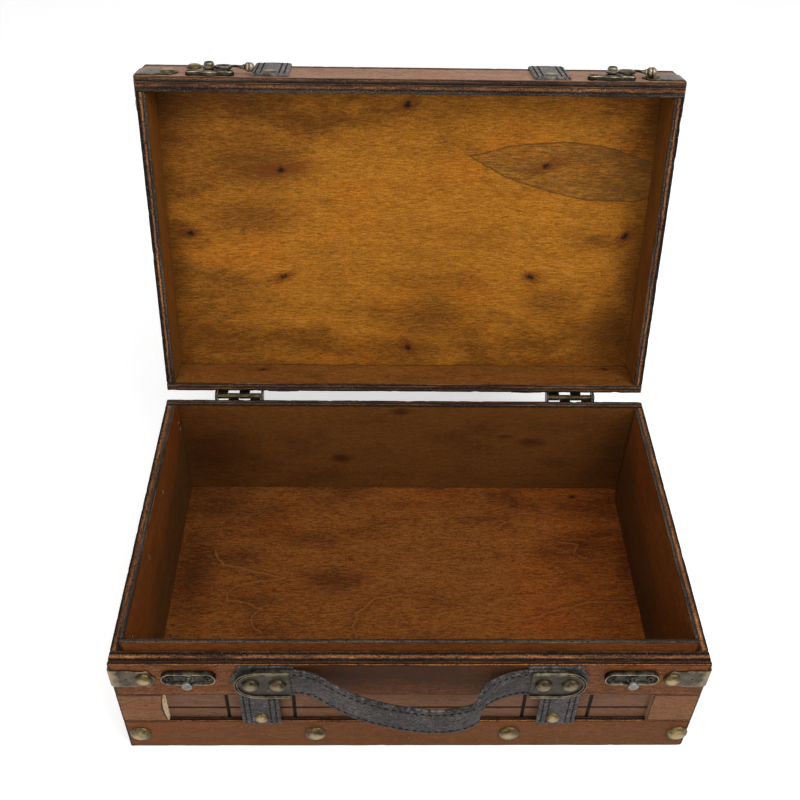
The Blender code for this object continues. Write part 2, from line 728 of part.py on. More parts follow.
def handle_curve():
    """Centre line of the handle from above, as (x, distance out from the front)."""
    points = []
    for along, out in HANDLE_PATH_SHARES:
        points.append(Vector((along * PLATE_INNER_X, HANDLE_OUT + out * HANDLE_BULGE)))
    clamped = Vector((PLATE_LENGTH - PLATE_HEIGHT / 2, 0))
    points = [points[0] - clamped] + points + [points[-1] + clamped]
    curve = []
    spans = len(points) - 1
    for index in range(HANDLE_STEPS + 1):
        place = spans * index / HANDLE_STEPS
        start = min(int(place), spans - 1)
        t = place - start
        p0 = points[max(start - 1, 0)]
        p1 = points[start]
        p2 = points[start + 1]
        p3 = points[min(start + 2, spans)]
        smooth = 2 * p1 + (p2 - p0) * t + (2 * p0 - 5 * p1 + 4 * p2 - p3) * t ** 2
        smooth = smooth + (3 * p1 - p0 - 3 * p2 + p3) * t ** 3
        curve.append(smooth / 2)
    return curve


def handle_strip():
    """The whole handle as one strip, thinner where the plates clamp it."""
    curve = handle_curve()
    inner = []
    outer = []
    for index, point in enumerate(curve):
        before = curve[max(index - 1, 0)]
        after = curve[min(index + 1, len(curve) - 1)]
        along = (after - before).normalized()
        across = Vector((-along.y, along.x))
        free = min(max((PLATE_INNER_X - abs(point.x)) / PLATE_HEIGHT, 0), 1)
        half = (HANDLE_END_THICKNESS + (HANDLE_THICKNESS - HANDLE_END_THICKNESS) * free) / 2
        inner.append(tuple(point - across * half))
        outer.append(tuple(point + across * half))
    outline = inner + outer[::-1]
    low = HANDLE_Z - HANDLE_WIDTH / 2
    high = HANDLE_Z + HANDLE_WIDTH / 2
    return prism(outline, lambda u, v, z: (u, FRONT - v, z), low, high)


def make_handle():
    reach = WIDTH
    split = HANDLE_SPLIT_SHARE * PLATE_INNER_X
    keeps = (
        ("handle_end_left", None, -reach, -split - SEAT / 2),
        ("handle_grip", "handle_axis", -split + SEAT / 2, split - SEAT / 2),
        ("handle_end_right", None, split + SEAT / 2, reach),
    )
    for name, body, x_low, x_high in keeps:
        keeper = block((x_low, FRONT - reach, -reach), (x_high, FRONT + reach, reach))
        mesh = boolean(handle_strip(), keeper, "INTERSECT")
        add_object(name, mesh, "leather", body)
    for word, sign in (("left", -1), ("right", 1)):
        patch_low = STRAP_TOP + SEAT
        patch_high = HANDLE_Z + HANDLE_WIDTH / 2 + SEAT
        middle = (patch_low + patch_high) / 2
        length = PLATE_LENGTH + PATCH_OVERHANG
        outline = plate_outline(sign, PLATE_INNER_X, length, patch_high - patch_low, middle)
        patch = prism(outline, on_front, 0, PATCH)
        add_object("handle_patch_" + word, patch, "leather")
        back = PATCH + HANDLE_END_THICKNESS + 2 * SEAT
        add_object("handle_plate_" + word, handle_plate(sign, back), "dark_metal")
        centre = PLATE_INNER_X + PLATE_LENGTH / 2 - PLATE_RIM
        seat = back + PLATE - PLATE_FIELD_DROP
        for end, step in (("inner", -1), ("outer", 1)):
            place = (sign * (centre + step * RIVET_SPACING / 2), HANDLE_Z)
            rivet = dome(on_front, place, RIVET_RADIUS, seat, RIVET_HEIGHT)
            add_object("handle_rivet_" + word + "_" + end, rivet, "antique_brass", smooth=True)


def knuckle_section(flip):
    """A strip that rises from the leaf and curls around the pin; flip turns it for the lid."""
    leaf_y = BACK + SEAT + HINGE_LEAF / 2
    curl = PIN_RADIUS + SEAT + HINGE_CURL / 2
    low = -HINGE_LEAF_HEIGHT / 3
    line = [(leaf_y, low - HINGE_LEAF), (leaf_y, low)]
    line += arc((PIN_Y, 0), curl, 200, -85, 14)
    return [(y, RIM + flip * z) for y, z in band(line, HINGE_CURL)]


def hinge_space(u, v, x):
    return (x, u, v)


def make_hinges():
    step = HINGE_LENGTH / KNUCKLE_COUNT
    leaf_front = BACK + SEAT
    leaf_back = leaf_front + HINGE_LEAF
    root = HINGE_LEAF_HEIGHT / 3
    for word, sign in (("left", -1), ("right", 1)):
        start = sign * HINGE_X - HINGE_LENGTH / 2
        stop = start + HINGE_LENGTH
        ear_start = start - KNUCKLE_GAP - STOP_EAR
        ear_stop = stop + KNUCKLE_GAP + STOP_EAR
        inset = STOP_EAR / 2
        low = (ear_start + inset, leaf_front, RIM - HINGE_LEAF_HEIGHT)
        lower = block(low, (ear_stop - inset, leaf_back, RIM - root))
        upper = block((start, leaf_front, RIM + root), (stop, leaf_back, RIM + HINGE_LEAF_HEIGHT))
        for index in range(KNUCKLE_COUNT):
            x_low = start + index * step + KNUCKLE_GAP / 2
            x_high = start + (index + 1) * step - KNUCKLE_GAP / 2
            if index % 2 == 0:
                curl = prism(knuckle_section(-1), hinge_space, x_low, x_high)
                upper = boolean(upper, curl, "UNION")
            else:
                curl = prism(knuckle_section(1), hinge_space, x_low, x_high)
                lower = boolean(lower, curl, "UNION")
        for x in (ear_start, stop + KNUCKLE_GAP):
            ear = prism(stop_ear_outline(), hinge_space, x, x + STOP_EAR)
            lower = boolean(lower, ear, "UNION")
        add_object("hinge_lower_leaf_" + word, lower, "antique_brass")
        add_object("hinge_upper_leaf_" + word, upper, "antique_brass", "lid_hinge_axis")
        pin = prism(ellipse((PIN_Y, RIM), PIN_RADIUS, PIN_RADIUS, 12), hinge_space, start, stop)
        add_object("hinge_pin_" + word, pin, "antique_brass")


def stop_ear_outline():
    """An ear that stands out behind the base; the open lid's back wall rests along its top."""
    lean = LID_OPEN_ANGLE - math.pi / 2
    face = Vector((math.cos(lean), -math.sin(lean)))
    corner = Vector((HINGE_SETBACK * math.sin(lean), HINGE_SETBACK * math.cos(lean)))
    under = Vector((-math.sin(lean), -math.cos(lean))) * (SEAT + SEAT)
    tip = corner + face * (STOP_EAR_REACH - corner.x) + under
    swing = HINGE_SETBACK - 2 * SEAT
    bottom = HINGE_CURL - HINGE_LEAF_HEIGHT
    points = [(-swing, bottom), (-swing, 0)]
    points += arc((0, 0), swing, 180, 90 - math.degrees(lean), 6)[1:]
    points += [tuple(tip), (tip.x, tip.y - HINGE_LEAF_HEIGHT / 4), (HINGE_LEAF - swing, bottom)]
    return [(PIN_Y + y, RIM + z) for y, z in points]


def main():
    clear_scene()
    make_materials()
    lid_axis = make_empty("lid_hinge_axis", (0, PIN_Y, RIM))
    for word, sign in (("left", -1), ("right", 1)):
        make_empty("latch_axis_" + word, (sign * LATCH_X, FRONT, PIVOT_Z), lid_axis)
    make_empty("handle_axis", (0, FRONT - HANDLE_OUT, HANDLE_Z))
    make_base_walls()
    make_front_framing()
    make_liners()
    make_lid_walls()
    make_straps()
    make_corner_hardware()
    make_bottom_nails()
    make_catches()
    make_latch_mounts()
    make_levers()
    make_handle()
    make_hinges()
    lid_axis.rotation_euler.x = -LID_OPEN_ANGLE


main()
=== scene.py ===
import json
import math

import bmesh
import bpy
from mathutils import Matrix, Vector, noise

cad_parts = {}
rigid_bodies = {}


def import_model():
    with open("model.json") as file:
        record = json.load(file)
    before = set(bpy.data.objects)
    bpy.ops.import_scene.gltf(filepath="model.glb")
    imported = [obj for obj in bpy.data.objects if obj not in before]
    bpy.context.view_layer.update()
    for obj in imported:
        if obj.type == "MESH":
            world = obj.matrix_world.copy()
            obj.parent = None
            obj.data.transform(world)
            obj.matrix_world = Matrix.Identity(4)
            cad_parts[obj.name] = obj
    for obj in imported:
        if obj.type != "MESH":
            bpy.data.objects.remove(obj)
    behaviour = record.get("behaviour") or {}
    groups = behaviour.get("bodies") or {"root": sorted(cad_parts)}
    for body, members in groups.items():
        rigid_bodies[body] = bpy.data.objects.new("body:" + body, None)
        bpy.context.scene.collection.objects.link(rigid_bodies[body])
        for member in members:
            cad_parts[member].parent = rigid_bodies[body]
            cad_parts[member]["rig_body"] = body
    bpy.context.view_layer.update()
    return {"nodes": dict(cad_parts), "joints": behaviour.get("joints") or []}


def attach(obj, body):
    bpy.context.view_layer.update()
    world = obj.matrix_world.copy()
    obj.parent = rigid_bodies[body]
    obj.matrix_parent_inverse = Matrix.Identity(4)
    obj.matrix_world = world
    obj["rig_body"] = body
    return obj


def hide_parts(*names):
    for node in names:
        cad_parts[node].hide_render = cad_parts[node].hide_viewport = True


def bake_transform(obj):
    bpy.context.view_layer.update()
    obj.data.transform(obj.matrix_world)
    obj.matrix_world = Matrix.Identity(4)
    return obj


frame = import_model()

# Looks for a wooden suitcase box: worn stained boards, dark leather and old brass.
# Metres, in the frame's coordinates. Pieces of the lid are shaped on the shut box and then
# turned open with it, so their object coordinates are those of the shut box.

MM = 0.001
HANDS = (("left", -1), ("right", 1))

# The lid's hinge, and how a shut lid's pieces come to their open place
HINGE = next(joint for joint in frame["joints"] if joint["name"] == "lid_hinge")
PIN = Vector(HINGE["pos_m"])
LID_ANGLE = math.radians(max(HINGE["range_deg"]))
OPEN = Matrix.Translation(PIN) @ Matrix.Rotation(-LID_ANGLE, 4, "X") @ Matrix.Translation(-PIN)
SHUT = OPEN.inverted()
LID_BODIES = ("lid", "lever_left", "lever_right")


class Box:
    """A CAD node's corners and sizes, with the lid's nodes measured shut."""

    def __init__(self, node):
        item = frame["nodes"][node]
        place = SHUT if item["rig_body"] in LID_BODIES else Matrix()
        points = [place @ vertex.co for vertex in item.data.vertices]
        self.low = Vector([min(point[axis] for point in points) for axis in range(3)])
        self.high = Vector([max(point[axis] for point in points) for axis in range(3)])
        self.wide = self.high.x - self.low.x
        self.thick = self.high.y - self.low.y
        self.tall = self.high.z - self.low.z
        self.u = (self.low.x + self.high.x) / 2
        self.v = (self.low.z + self.high.z) / 2
        self.centre = (self.u, self.v)
        self.inner, self.outer = sorted((abs(self.low.x), abs(self.high.x)))


# Sizes read from the frame
RAIL = Box("front_top_rail")
FRONT = RAIL.low.y
RIM = RAIL.high.z
SIDE = RAIL.high.x
BACK = Box("base_back_wall").high.y
LID_TOP = Box("lid_top_panel").high.z
PANEL_FACE = Box("base_front_wall").low.y
SEAT = 0.3 * MM

# How worn the boards are
SECTION_STEP = 2.4 * MM
EDGE_EASE = 0.55 * MM
EDGE_BAND = 1.9 * MM
CHIP = 1.1 * MM

# A board's three looks: its low side, its edges and its high side
FIRST = 0
EDGE = 1
LAST = 2


def put(name, data):
    """A new object in the scene."""
    item = bpy.data.objects.new(name, data)
    bpy.context.scene.collection.objects.link(item)
    return item


class Shape:
    """Points and faces, gathered until they become one piece."""

    def __init__(self):
        self.points = []
        self.wear = []
        self.faces = []

    def point(self, place, wear):
        self.points.append(Vector(place))
        self.wear.append(wear)
        return len(self.points) - 1

    def ring(self, places, wear=0.0):
        """A row of points, or a single one, repeated, where they all meet."""
        if len({tuple(place) for place in places}) == 1:
            return [self.point(places[0], wear)] * len(places)
        return [self.point(place, wear) for place in places]

    def face(self, corners, kind=0, to_uv=None):
        corners = tuple(dict.fromkeys(corners))
        if len(corners) > 2:
            uvs = [to_uv(corner) for corner in corners] if to_uv else None
            self.faces.append((corners, kind, uvs))

    def skin(self, rows, kind=0, closed=True, to_uv=None):
        """Join rows of points with four-sided faces; kind may be a list, one for each column."""
        for below, above in zip(rows, rows[1:]):
            count = len(below) if closed else len(below) - 1
            for index in range(count):
                following = (index + 1) % len(below)
                corners = (below[index], below[following], above[following], above[index])
                self.face(corners, kind[index] if isinstance(kind, list) else kind, to_uv)

    def close(self, rows, kind=0):
        """A skin with both its ends filled."""
        self.skin(rows, kind)
        self.face(rows[0], kind)
        self.face(rows[-1], kind)


def make_piece(name, shape, finishes, body, nodes=(), crease=38, ride=True):
    mesh = bpy.data.meshes.new(name)
    mesh.from_pydata(shape.points, [], [face[0] for face in shape.faces])
    layer = mesh.uv_layers.new(name="UVMap")
    wear = mesh.attributes.new("wear", "FLOAT", "POINT")
    wear.data.foreach_set("value", shape.wear)
    for finish in finishes:
        mesh.materials.append(finish)
    for polygon, (_, kind, uvs) in zip(mesh.polygons, shape.faces):
        polygon.material_index = kind
        for loop_index, uv in zip(polygon.loop_indices, uvs or ()):
            layer.data[loop_index].uv = uv
    work = bmesh.new()
    work.from_mesh(mesh)
    bmesh.ops.recalc_face_normals(work, faces=work.faces)
    work.to_mesh(mesh)
    work.free()
    mesh.shade_smooth()
    mesh.set_sharp_from_angle(angle=math.radians(crease))
    item = put(name, mesh)
    if body in LID_BODIES:
        item.matrix_world = OPEN
    if ride:
        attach(item, body)
    if nodes:
        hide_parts(*nodes)
    return item


def dress(node, ending, shape, finishes, crease=38):
    """Put a shape in a CAD node's place, on the same body."""
    body = frame["nodes"][node]["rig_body"]
    return make_piece(node + "_" + ending, shape, finishes, body, (node,), crease)


def paint(node, finish):
    """A CAD node that is shown as it is, in a new finish."""
    mesh = frame["nodes"][node].data
    mesh.materials.clear()
    mesh.materials.append(finish)


def wave(x, y, z=0.0):
    """Smooth noise between about -1 and 1."""
    return noise.noise(Vector((x, y, z)))


# Materials

WOOD_SPECULAR = 0.05
LEATHER_SPECULAR = 0.12
METAL_SPECULAR = 0.2
GLOOM = (0.47, 0.42, 0.58)
GLOW = (1.10, 0.90, 0.70)


class Value:
    """A shader node's output, a number or a vector, that can be worked on like one."""

    def __init__(self, tree, socket):
        self.tree = tree
        self.socket = socket

    def __add__(self, other):
        return self.tree.work("ADD", self, other)

    def __sub__(self, other):
        return self.tree.work("SUBTRACT", self, other)

    def __mul__(self, other):
        return self.tree.work("MULTIPLY", self, other)

    def __truediv__(self, other):
        return self.tree.work("DIVIDE", self, other)

    def __abs__(self):
        return self.tree.work("ABSOLUTE", self)

    def dot(self, other):
        return self.tree.work("DOT_PRODUCT", self, other)

    def length(self):
        return self.tree.work("LENGTH", self)


class Nodes:
    """A node tree and short ways to add nodes to it."""

    def __init__(self, tree):
        self.nodes = tree.nodes
        self.links = tree.links

    def fill(self, node, values):
        """values goes by socket name or number, and each is a constant or another node's output."""
        for key, value in values.items():
            if isinstance(value, Value):
                self.links.new(value.socket, node.inputs[key])
            else:
                node.inputs[key].default_value = value

    def outputs(self, kind, values, **settings):
        node = self.nodes.new("ShaderNode" + kind)
        for key, value in settings.items():
            setattr(node, key, value)
        self.fill(node, values)
        return [Value(self, socket) for socket in node.outputs]

    def add(self, kind, values, output=0, **settings):
        return self.outputs(kind, values, **settings)[output]

    def work(self, operation, first, second=None, **settings):
        """One step of a sum, with numbers or with vectors."""
        kind = "Math" if first.socket.type == "VALUE" else "VectorMath"
        values = {0: first} if second is None else {0: first, 1: second}
        output = 1 if operation in ("LENGTH", "DOT_PRODUCT") else 0
        return self.add(kind, values, output, operation=operation, **settings)

    def larger(self, first, second):
        return self.work("MAXIMUM", first, second)

    def combine(self, x, y, z=0.0):
        return self.add("CombineXYZ", {0: x, 1: y, 2: z})

    def span(self, value, low, high, to_low=0.0, to_high=1.0):
        """Map low..high to to_low..to_high, smoothly and clamped."""
        values = {"Value": value, "From Min": low, "From Max": high, "To Min": to_low, "To Max": to_high}
        return self.add("MapRange", values, interpolation_type="SMOOTHSTEP")

    def seen(self):
        """1 for rays that show a surface to the camera, and 0 for those that only carry light."""
        rays = {ray.socket.name: ray for ray in self.outputs("LightPath", {})}
        direct = self.larger(rays["Is Camera Ray"], rays["Is Glossy Ray"])
        return self.larger(direct, rays["Is Transmission Ray"])


class Finish(Nodes):
    """A material, with its colour so far and the object's coordinates."""

    def __init__(self, name, roughness=0.5, metallic=0.0, specular=0.5):
        self.material = bpy.data.materials.new(name)
        self.material.use_nodes = True
        super().__init__(self.material.node_tree)
        self.shader = self.nodes["Principled BSDF"]
        self.fill(self.shader, {"Roughness": roughness, "Metallic": metallic, "Specular IOR Level": specular})
        coordinates = {place.socket.name: place for place in self.outputs("TexCoord", {})}
        self.raw = coordinates["Object"]
        self.uv = coordinates["UV"]
        self.colour = None

    def noise(self, place, scale=1.0, detail=2.0, rough=0.55, distortion=0.0, output=0):
        values = {"Vector": place, "Scale": scale, "Detail": detail, "Roughness": rough,
                  "Distortion": distortion}
        return self.add("TexNoise", values, output)

    def grain(self, place, along, across, detail=2.0, rough=0.55, distortion=0.0, through=None):
        """Noise with its own pitch in each direction."""
        pitch = (along, across, across if through is None else through)
        return self.noise(place * pitch, 1.0, detail, rough, distortion)

    def stirred(self, place, scale, detail, size):
        """A place moved about by noise."""
        return place + (self.noise(place, scale, detail, output=1) - (0.5, 0.5, 0.5)) * size

    def mix(self, factor, tint, blend="MIX"):
        """Lay a tint over the colour so far."""
        tint = (*tint, 1.0) if isinstance(tint, tuple) else tint
        values = {0: factor, 6: self.colour, 7: tint}
        self.colour = self.add("Mix", values, 2, data_type="RGBA", blend_type=blend)

    def cover(self, tint, strength, value, start, stop, blend="MIX"):
        """Lay on a tint that reaches its strength as the value goes from start to stop."""
        self.mix(self.span(value, start, stop, 0.0, strength), tint, blend)

    def ramp(self, value, stops):
        self.colour = self.add("ValToRGB", {"Fac": value})
        elements = self.colour.socket.node.color_ramp.elements
        while len(elements) < len(stops):
            elements.new(0.5)
        for element, (place, colour) in zip(elements, stops):
            element.position = place
            element.color = (*colour, 1.0)

    def bump(self, height, distance, strength):
        normal = self.add("Bump", {"Height": height, "Distance": distance, "Strength": strength})
        self.fill(self.shader, {"Normal": normal})

    def worn(self, value, factor, offset):
        """How worn the surface is, made uneven by a value."""
        return self.add("Attribute", {}, 2, attribute_name="wear") + (value * factor + offset)

    def done(self, gloss=None):
        self.fill(self.shader, {"Base Color": self.colour})
        if gloss:
            self.fill(self.shader, {"Roughness": gloss})
        return self.material


class Wood(Finish):
    """Stained veneer with fine dark fibres and smoky clouds."""

    def __init__(self, name, dark, mid, light, run, seed, cloud, plane):
        super().__init__(name, specular=WOOD_SPECULAR)
        self.dark = dark
        self.plane = plane
        place = self.raw
        if run == "y":
            place = self.add("Mapping", {"Vector": place, "Rotation": (0, 0, math.radians(90))})
        self.place = place + (seed * 1.37, seed * 0.71, seed * 0.53)
        self.bent = self.stirred(self.place, 7.0, 2.0, (0.0, 0.012, 0.012))
        self.fibre = self.grain(self.bent, 170, 1300, 4.0, 0.75)
        self.thread = self.grain(self.bent, 50, 560, 3.0, 0.6)
        streak = self.grain(self.bent, 9, 110, 4.0, 0.6)
        grit = self.noise(self.raw, 1000.0, 2.0, 0.6)
        tone = self.fibre * 1.30 - 0.70 + self.thread * 0.28 + streak * 0.20 + grit * 0.62
        self.ramp(tone, ((0.30, dark), (0.50, mid), (0.70, light)))
        self.cover(GLOW, 0.5, self.grain(self.bent, 11, 19, 3.0, 0.6), 0.50, 0.68, "MULTIPLY")
        self.patches = self.grain(self.bent, 18, 40, 5.0, 0.65)
        self.uneven = self.patches * 1.6 - 0.8
        self.shade = self.span(self.patches, 0.46, 0.70, 0.0, cloud)

    def flat(self, along, across, off=0.0):
        """Coordinates of a place on the board's plane."""
        return (along, off, across) if self.plane == "xz" else (along, across, off)

    def oval(self, x, y, half_length, half_width):
        """0 in the middle of an uneven oval and about 1 at its edge."""
        spot = (self.raw - self.flat(x, y)) * self.flat(1 / half_length, 1 / half_width)
        return spot.length() + self.uneven

    def smoky_stain_and_shade(self, stain_and_shade_spots):
        """Smoky stain in clouds, and darker spots at set places: partly smoky stain, and partly painted shade
        near the corners and edges.
        """
        for *place, strength in stain_and_shade_spots:
            self.shade = self.larger(self.shade, self.span(self.oval(*place), 1.05, 0.0, 0.0, strength))
        self.mix(self.shade, GLOOM, "MULTIPLY")

    def corner_stain_and_shade(self, x, y, half_length, half_width, start, strength):
        # Darker towards the board's corners: partly the stain, partly painted shade.
        fall = self.span(self.oval(x, y, half_length, half_width), start, 1.2, 0.0, strength)
        self.mix(fall, GLOOM, "MULTIPLY")
        self.shade = self.larger(self.shade, fall)

    def flames(self, strength):
        """Crisp borders of the year rings, darker on one side."""
        flame = self.grain(self.bent, 7, 22, 2.0, 0.5, 0.8)
        kept = self.span(self.noise(self.place, 8.0, 1.0), 0.44, 0.56)
        self.mix(self.span(flame, 0.500, 0.508, 0.0, strength * 0.6) * kept, GLOOM, "MULTIPLY")
        line = self.span(abs(flame - 0.503), 0.006, 0.0, 0.0, strength)
        self.mix(line * kept, tuple(0.8 * part for part in self.dark))

    def trail(self, place, points):
        """How far a place is, in the xy plane, from a line through (x, y) points."""
        nearest = 1.0
        for (x, y), (next_x, next_y) in zip(points, points[1:]):
            step = (next_x - x, next_y - y, 0.0)
            away = (place - (x, y, 0.0)) * (1.0, 1.0, 0.0)
            share = self.work("DIVIDE", away.dot(step), step[0] ** 2 + step[1] ** 2, use_clamp=True)
            along = self.add("VectorMath", {0: step, "Scale": share}, operation="SCALE")
            nearest = self.work("MINIMUM", (away - along).length(), nearest)
        return nearest

    def figure(self, lines):
        """A few fine wavy lines, each with a dark side."""
        place = self.stirred(self.raw, 95.0, 3.0, (0.009, 0.006, 0.0))
        ragged = self.fibre * 0.0016 - 0.0008
        for points in lines:
            reach = self.trail(place, points) + ragged
            self.cover(GLOOM, 0.40, reach, 0.0060, 0.0010, "MULTIPLY")
            self.cover((0.20, 0.074, 0.016), 0.7, reach, 0.0010, 0.0002)

    def smoke(self, centre, half_width, top, drop, strength, tint):
        """A smoky band around one place along x, strongest at its upper edge."""
        x, _, z = self.outputs("SeparateXYZ", {0: self.raw})
        away = self.uneven * (half_width * 0.8) + abs(x - centre)
        band = self.span(away, half_width, half_width * 0.25, 0.0, strength)
        self.mix(band * self.span(self.uneven * drop + z, top - drop, top, 0.25, 1.0), tint)

    def lens(self, place, half_length, half_width, turn, tint):
        """A greyer, pointed flame of grain with a fine ragged outline."""
        values = {"Vector": self.raw, "Location": place, "Rotation": (0, 0, turn),
                  "Scale": (half_length, half_width, 1.0)}
        spot = self.add("Mapping", values, vector_type="TEXTURE")
        along, across, _ = self.outputs("SeparateXYZ", {0: spot})
        sway = self.grain(self.raw, 130, 520, 3.0) * 0.12 + self.grain(self.raw, 20, 20) * 0.45
        reach = along * along + (sway - 0.285) + abs(across)
        inside = self.span(reach, 1.02, 0.97)
        self.mix(inside, tint, "MULTIPLY")
        self.shade = self.larger(self.shade, inside * 0.35)
        self.cover((0.085, 0.036, 0.008), 0.85, abs(reach - 1.0), 0.045, 0.012)
        flecks = self.span(self.grain(self.raw, 110, 1500, 3.0, 0.65), 0.46, 0.60, 0.0, 0.62)
        self.mix(flecks * inside, (0.075, 0.042, 0.014))

    def knot(self, x, y, level, length, width, turn):
        """Slanting reddish smears round a small black core."""
        offset = self.raw - self.flat(x, y, level)
        along = offset.dot(self.flat(math.cos(turn), math.sin(turn)))
        across = offset.dot(self.flat(-math.sin(turn), math.cos(turn)))
        spot = self.combine(along / length, across / width)
        torn = self.noise(spot * (1.1, 3.2, 1.0), 1.0, 4.0, 0.65)
        self.cover((0.115, 0.026, 0.006), 0.62, spot.length() + (torn * 2.4 - 1.25), 0.95, 0.35)
        core = self.combine(along, across * 1.35).length() - 0.0050
        reach = self.noise(self.raw, 330.0, 4.0, 0.75) * 0.009 + core
        self.cover((0.045, 0.016, 0.006), 0.7, reach, 0.0040, 0.0012)
        self.cover((0.010, 0.006, 0.004), 0.85, reach, 0.0018, 0.0006)

    def dashes(self):
        """Short dark dashes of grain, denser in the shade."""
        surplus = self.grain(self.place, 190, 1500, 3.0, 0.6) - self.span(self.shade, 0.0, 0.7, 0.61, 0.54)
        dashes = self.span(surplus, 0.0, 0.05, 0.0, 0.70)
        self.mix(dashes, (self.dark[0] * 0.45, self.dark[1] * 0.55, self.dark[2] * 0.8))
        return dashes

    def burnt_edges(self):
        """Black edges, and bare wood where they are rubbed most."""
        rub = self.grain(self.place, 130, 420, 4.0, 0.7)
        self.cover((0.014, 0.009, 0.006), 0.8, self.worn(rub, 1.4, -0.7), 0.50, 0.80)
        self.cover((0.20, 0.085, 0.035), 0.7, self.worn(self.patches, 2.6, -1.5), 0.80, 1.05)


def wood(name, palette, run, seed, cloud=0.4, plane="xy", stain_and_shade_spots=(), corners=None, flames=0.0,
         figure=(), smoke=None, lens=None, knots=(), level=0.0, extra=None):
    """A board's look. Stain and shade spots, partly smoky stain and partly painted shade, are (x, y or z,
    half length, half width, strength), and knots (x, y or z, length, width, turn), all of them at one level
    across the board's plane. Corners darken the board towards its corners: partly stain, partly painted
    shade."""
    board = Wood(name, *palette, run, seed, cloud, plane)
    board.smoky_stain_and_shade(stain_and_shade_spots)
    if corners:
        board.corner_stain_and_shade(*corners)
    if flames:
        board.flames(flames)
    if figure:
        board.figure(figure)
    if smoke:
        board.smoke(*smoke)
    if lens:
        board.lens(*lens)
    dashes = board.dashes()
    for x, y, length, width, turn in knots:
        board.knot(x, y, level, length, width, turn)
    board.burnt_edges()
    board.bump(board.fibre * 0.6 + board.thread * 0.4 - dashes * 0.5, 0.0002, 0.8)
    if extra:
        extra(board)
    return board.done(board.fibre * 0.30 + 0.38)


def groove_shadow(board):
    """Painted shade in the grooves: whatever lies behind the panel's face is dark."""
    depth = board.raw.dot((0, 1, 0))
    board.cover((0.012, 0.009, 0.007), 0.96, depth, PANEL_FACE + 0.03 * MM, PANEL_FACE + 0.4 * MM)


def low_shade(board):
    """The side walls are darker and greener towards the floor and the back."""
    uneven = board.noise(board.raw, 26.0, 3.0) * 0.05 - 0.025
    board.cover((0.55, 0.72, 0.95), 1.0, board.raw.dot((0, -0.18, 1)) + uneven, 0.068, 0.030, "MULTIPLY")


def warm_side(board):
    """The floor turns redder and lighter towards the right."""
    reach = board.noise(board.raw, 16.0, 3.0) * 0.14 - 0.07 + board.raw.dot((1, 0, 0))
    board.cover((1.26, 1.08, 0.98), 1.0, reach, 0.040, 0.140, "MULTIPLY")


DARK = (0.009, 0.006, 0.005)
GREY = (0.050, 0.036, 0.028)
BROWN = (0.135, 0.054, 0.023)
ORANGE = (0.290, 0.108, 0.034)
RUST = (0.185, 0.070, 0.024)
BRIGHTEN = (1.55, 1.65, 1.5)


def ply_edge(name, stops, seed, dust=0.6):
    """The layered edge of thin plywood; the UV runs along the board and across its layers."""
    edge = Finish(name, 0.6, specular=WOOD_SPECULAR)
    along, through, _ = edge.outputs("SeparateXYZ", {0: edge.uv})
    along = along + seed

    def streaks(pitch, across, detail, rough=0.55, offset=0.0):
        return edge.noise(edge.combine(along * pitch, across, offset), 1.0, detail, rough)

    sway = streaks(38.0, seed, 3.0) * 0.18 - 0.09
    ragged = streaks(420.0, through, 3.0) * 0.20 - 0.10
    edge.ramp(through + (sway + ragged), stops)
    fibre = streaks(130.0, through * 14.0, 4.0, 0.7)
    shade = edge.span(fibre, 0.32, 0.68, 0.40, 1.60)
    edge.mix(1.0, edge.combine(shade, shade, shade), "MULTIPLY")
    grubby = streaks(24.0, through, 4.0, 0.7, 3.7)
    edge.cover(BRIGHTEN, 1.0, grubby, 0.50, 0.36, "MULTIPLY")
    edge.cover(DARK, 0.7, grubby, 0.50, 0.66)
    scratch = streaks(300.0, through * 15.0, 5.0, 0.75, 8.1)
    pits = edge.noise(edge.raw, 800.0, 4.0, 0.7)
    edge.cover((0.008, 0.006, 0.005), 0.85, pits, 0.50, 0.38)
    edge.cover((0.17, 0.14, 0.12), dust, scratch, 0.60, 0.70)
    edge.cover((0.32, 0.29, 0.27), dust, edge.noise(edge.raw, 1500.0, 2.0, 0.6), 0.64, 0.72)
    edge.bump(pits * 1.4 + (fibre * 0.5 + scratch * 0.5), 0.0006, 0.9)
    return edge.done()


def leather(name, dark, mid, pale, crease=1.0):
    """Worn leather: grainy, creased in fine dark lines, and scuffed pale where wear is high."""
    hide = Finish(name, 0.55, specular=LEATHER_SPECULAR)
    raw = hide.raw
    cells = hide.add("TexVoronoi", {"Vector": raw, "Scale": 900.0, "Randomness": 1.0})
    wrinkle = hide.grain(raw, 240, 240, 5.0, 0.7, 0.8, 420)
    patch = hide.noise(raw, 38.0, 3.0) * 0.35 - 0.50
    tone = wrinkle * 0.85 + patch + hide.noise(raw, 1200.0, 3.0, 0.7) * 0.80
    hide.ramp(tone, ((0.34, dark), (0.52, mid), (0.72, pale)))
    folds = abs(hide.grain(raw, 75, 75, 3.0, 0.5, 1.5, 160) - 0.5)
    hide.cover((0.004, 0.003, 0.003), 0.7 * crease, folds, 0.020, 0.0)
    lines = abs(hide.grain(raw, 210, 210, 3.0, 0.6, 1.0, 330) - 0.5)
    hide.cover((0.005, 0.004, 0.004), 0.5 * crease, lines, 0.022, 0.0)
    hide.cover((0.15, 0.135, 0.125), 0.55, hide.worn(wrinkle, 2.2, -1.3), 0.70, 1.05)
    height = cells * -0.35 + wrinkle * 0.9 + hide.span(folds, 0.0, 0.05, 0.0, 0.6 * crease)
    hide.bump(height + hide.span(lines, 0.0, 0.04, 0.0, 0.3 * crease), 0.00045, 0.9)
    return hide.done(wrinkle * 0.35 + 0.36)


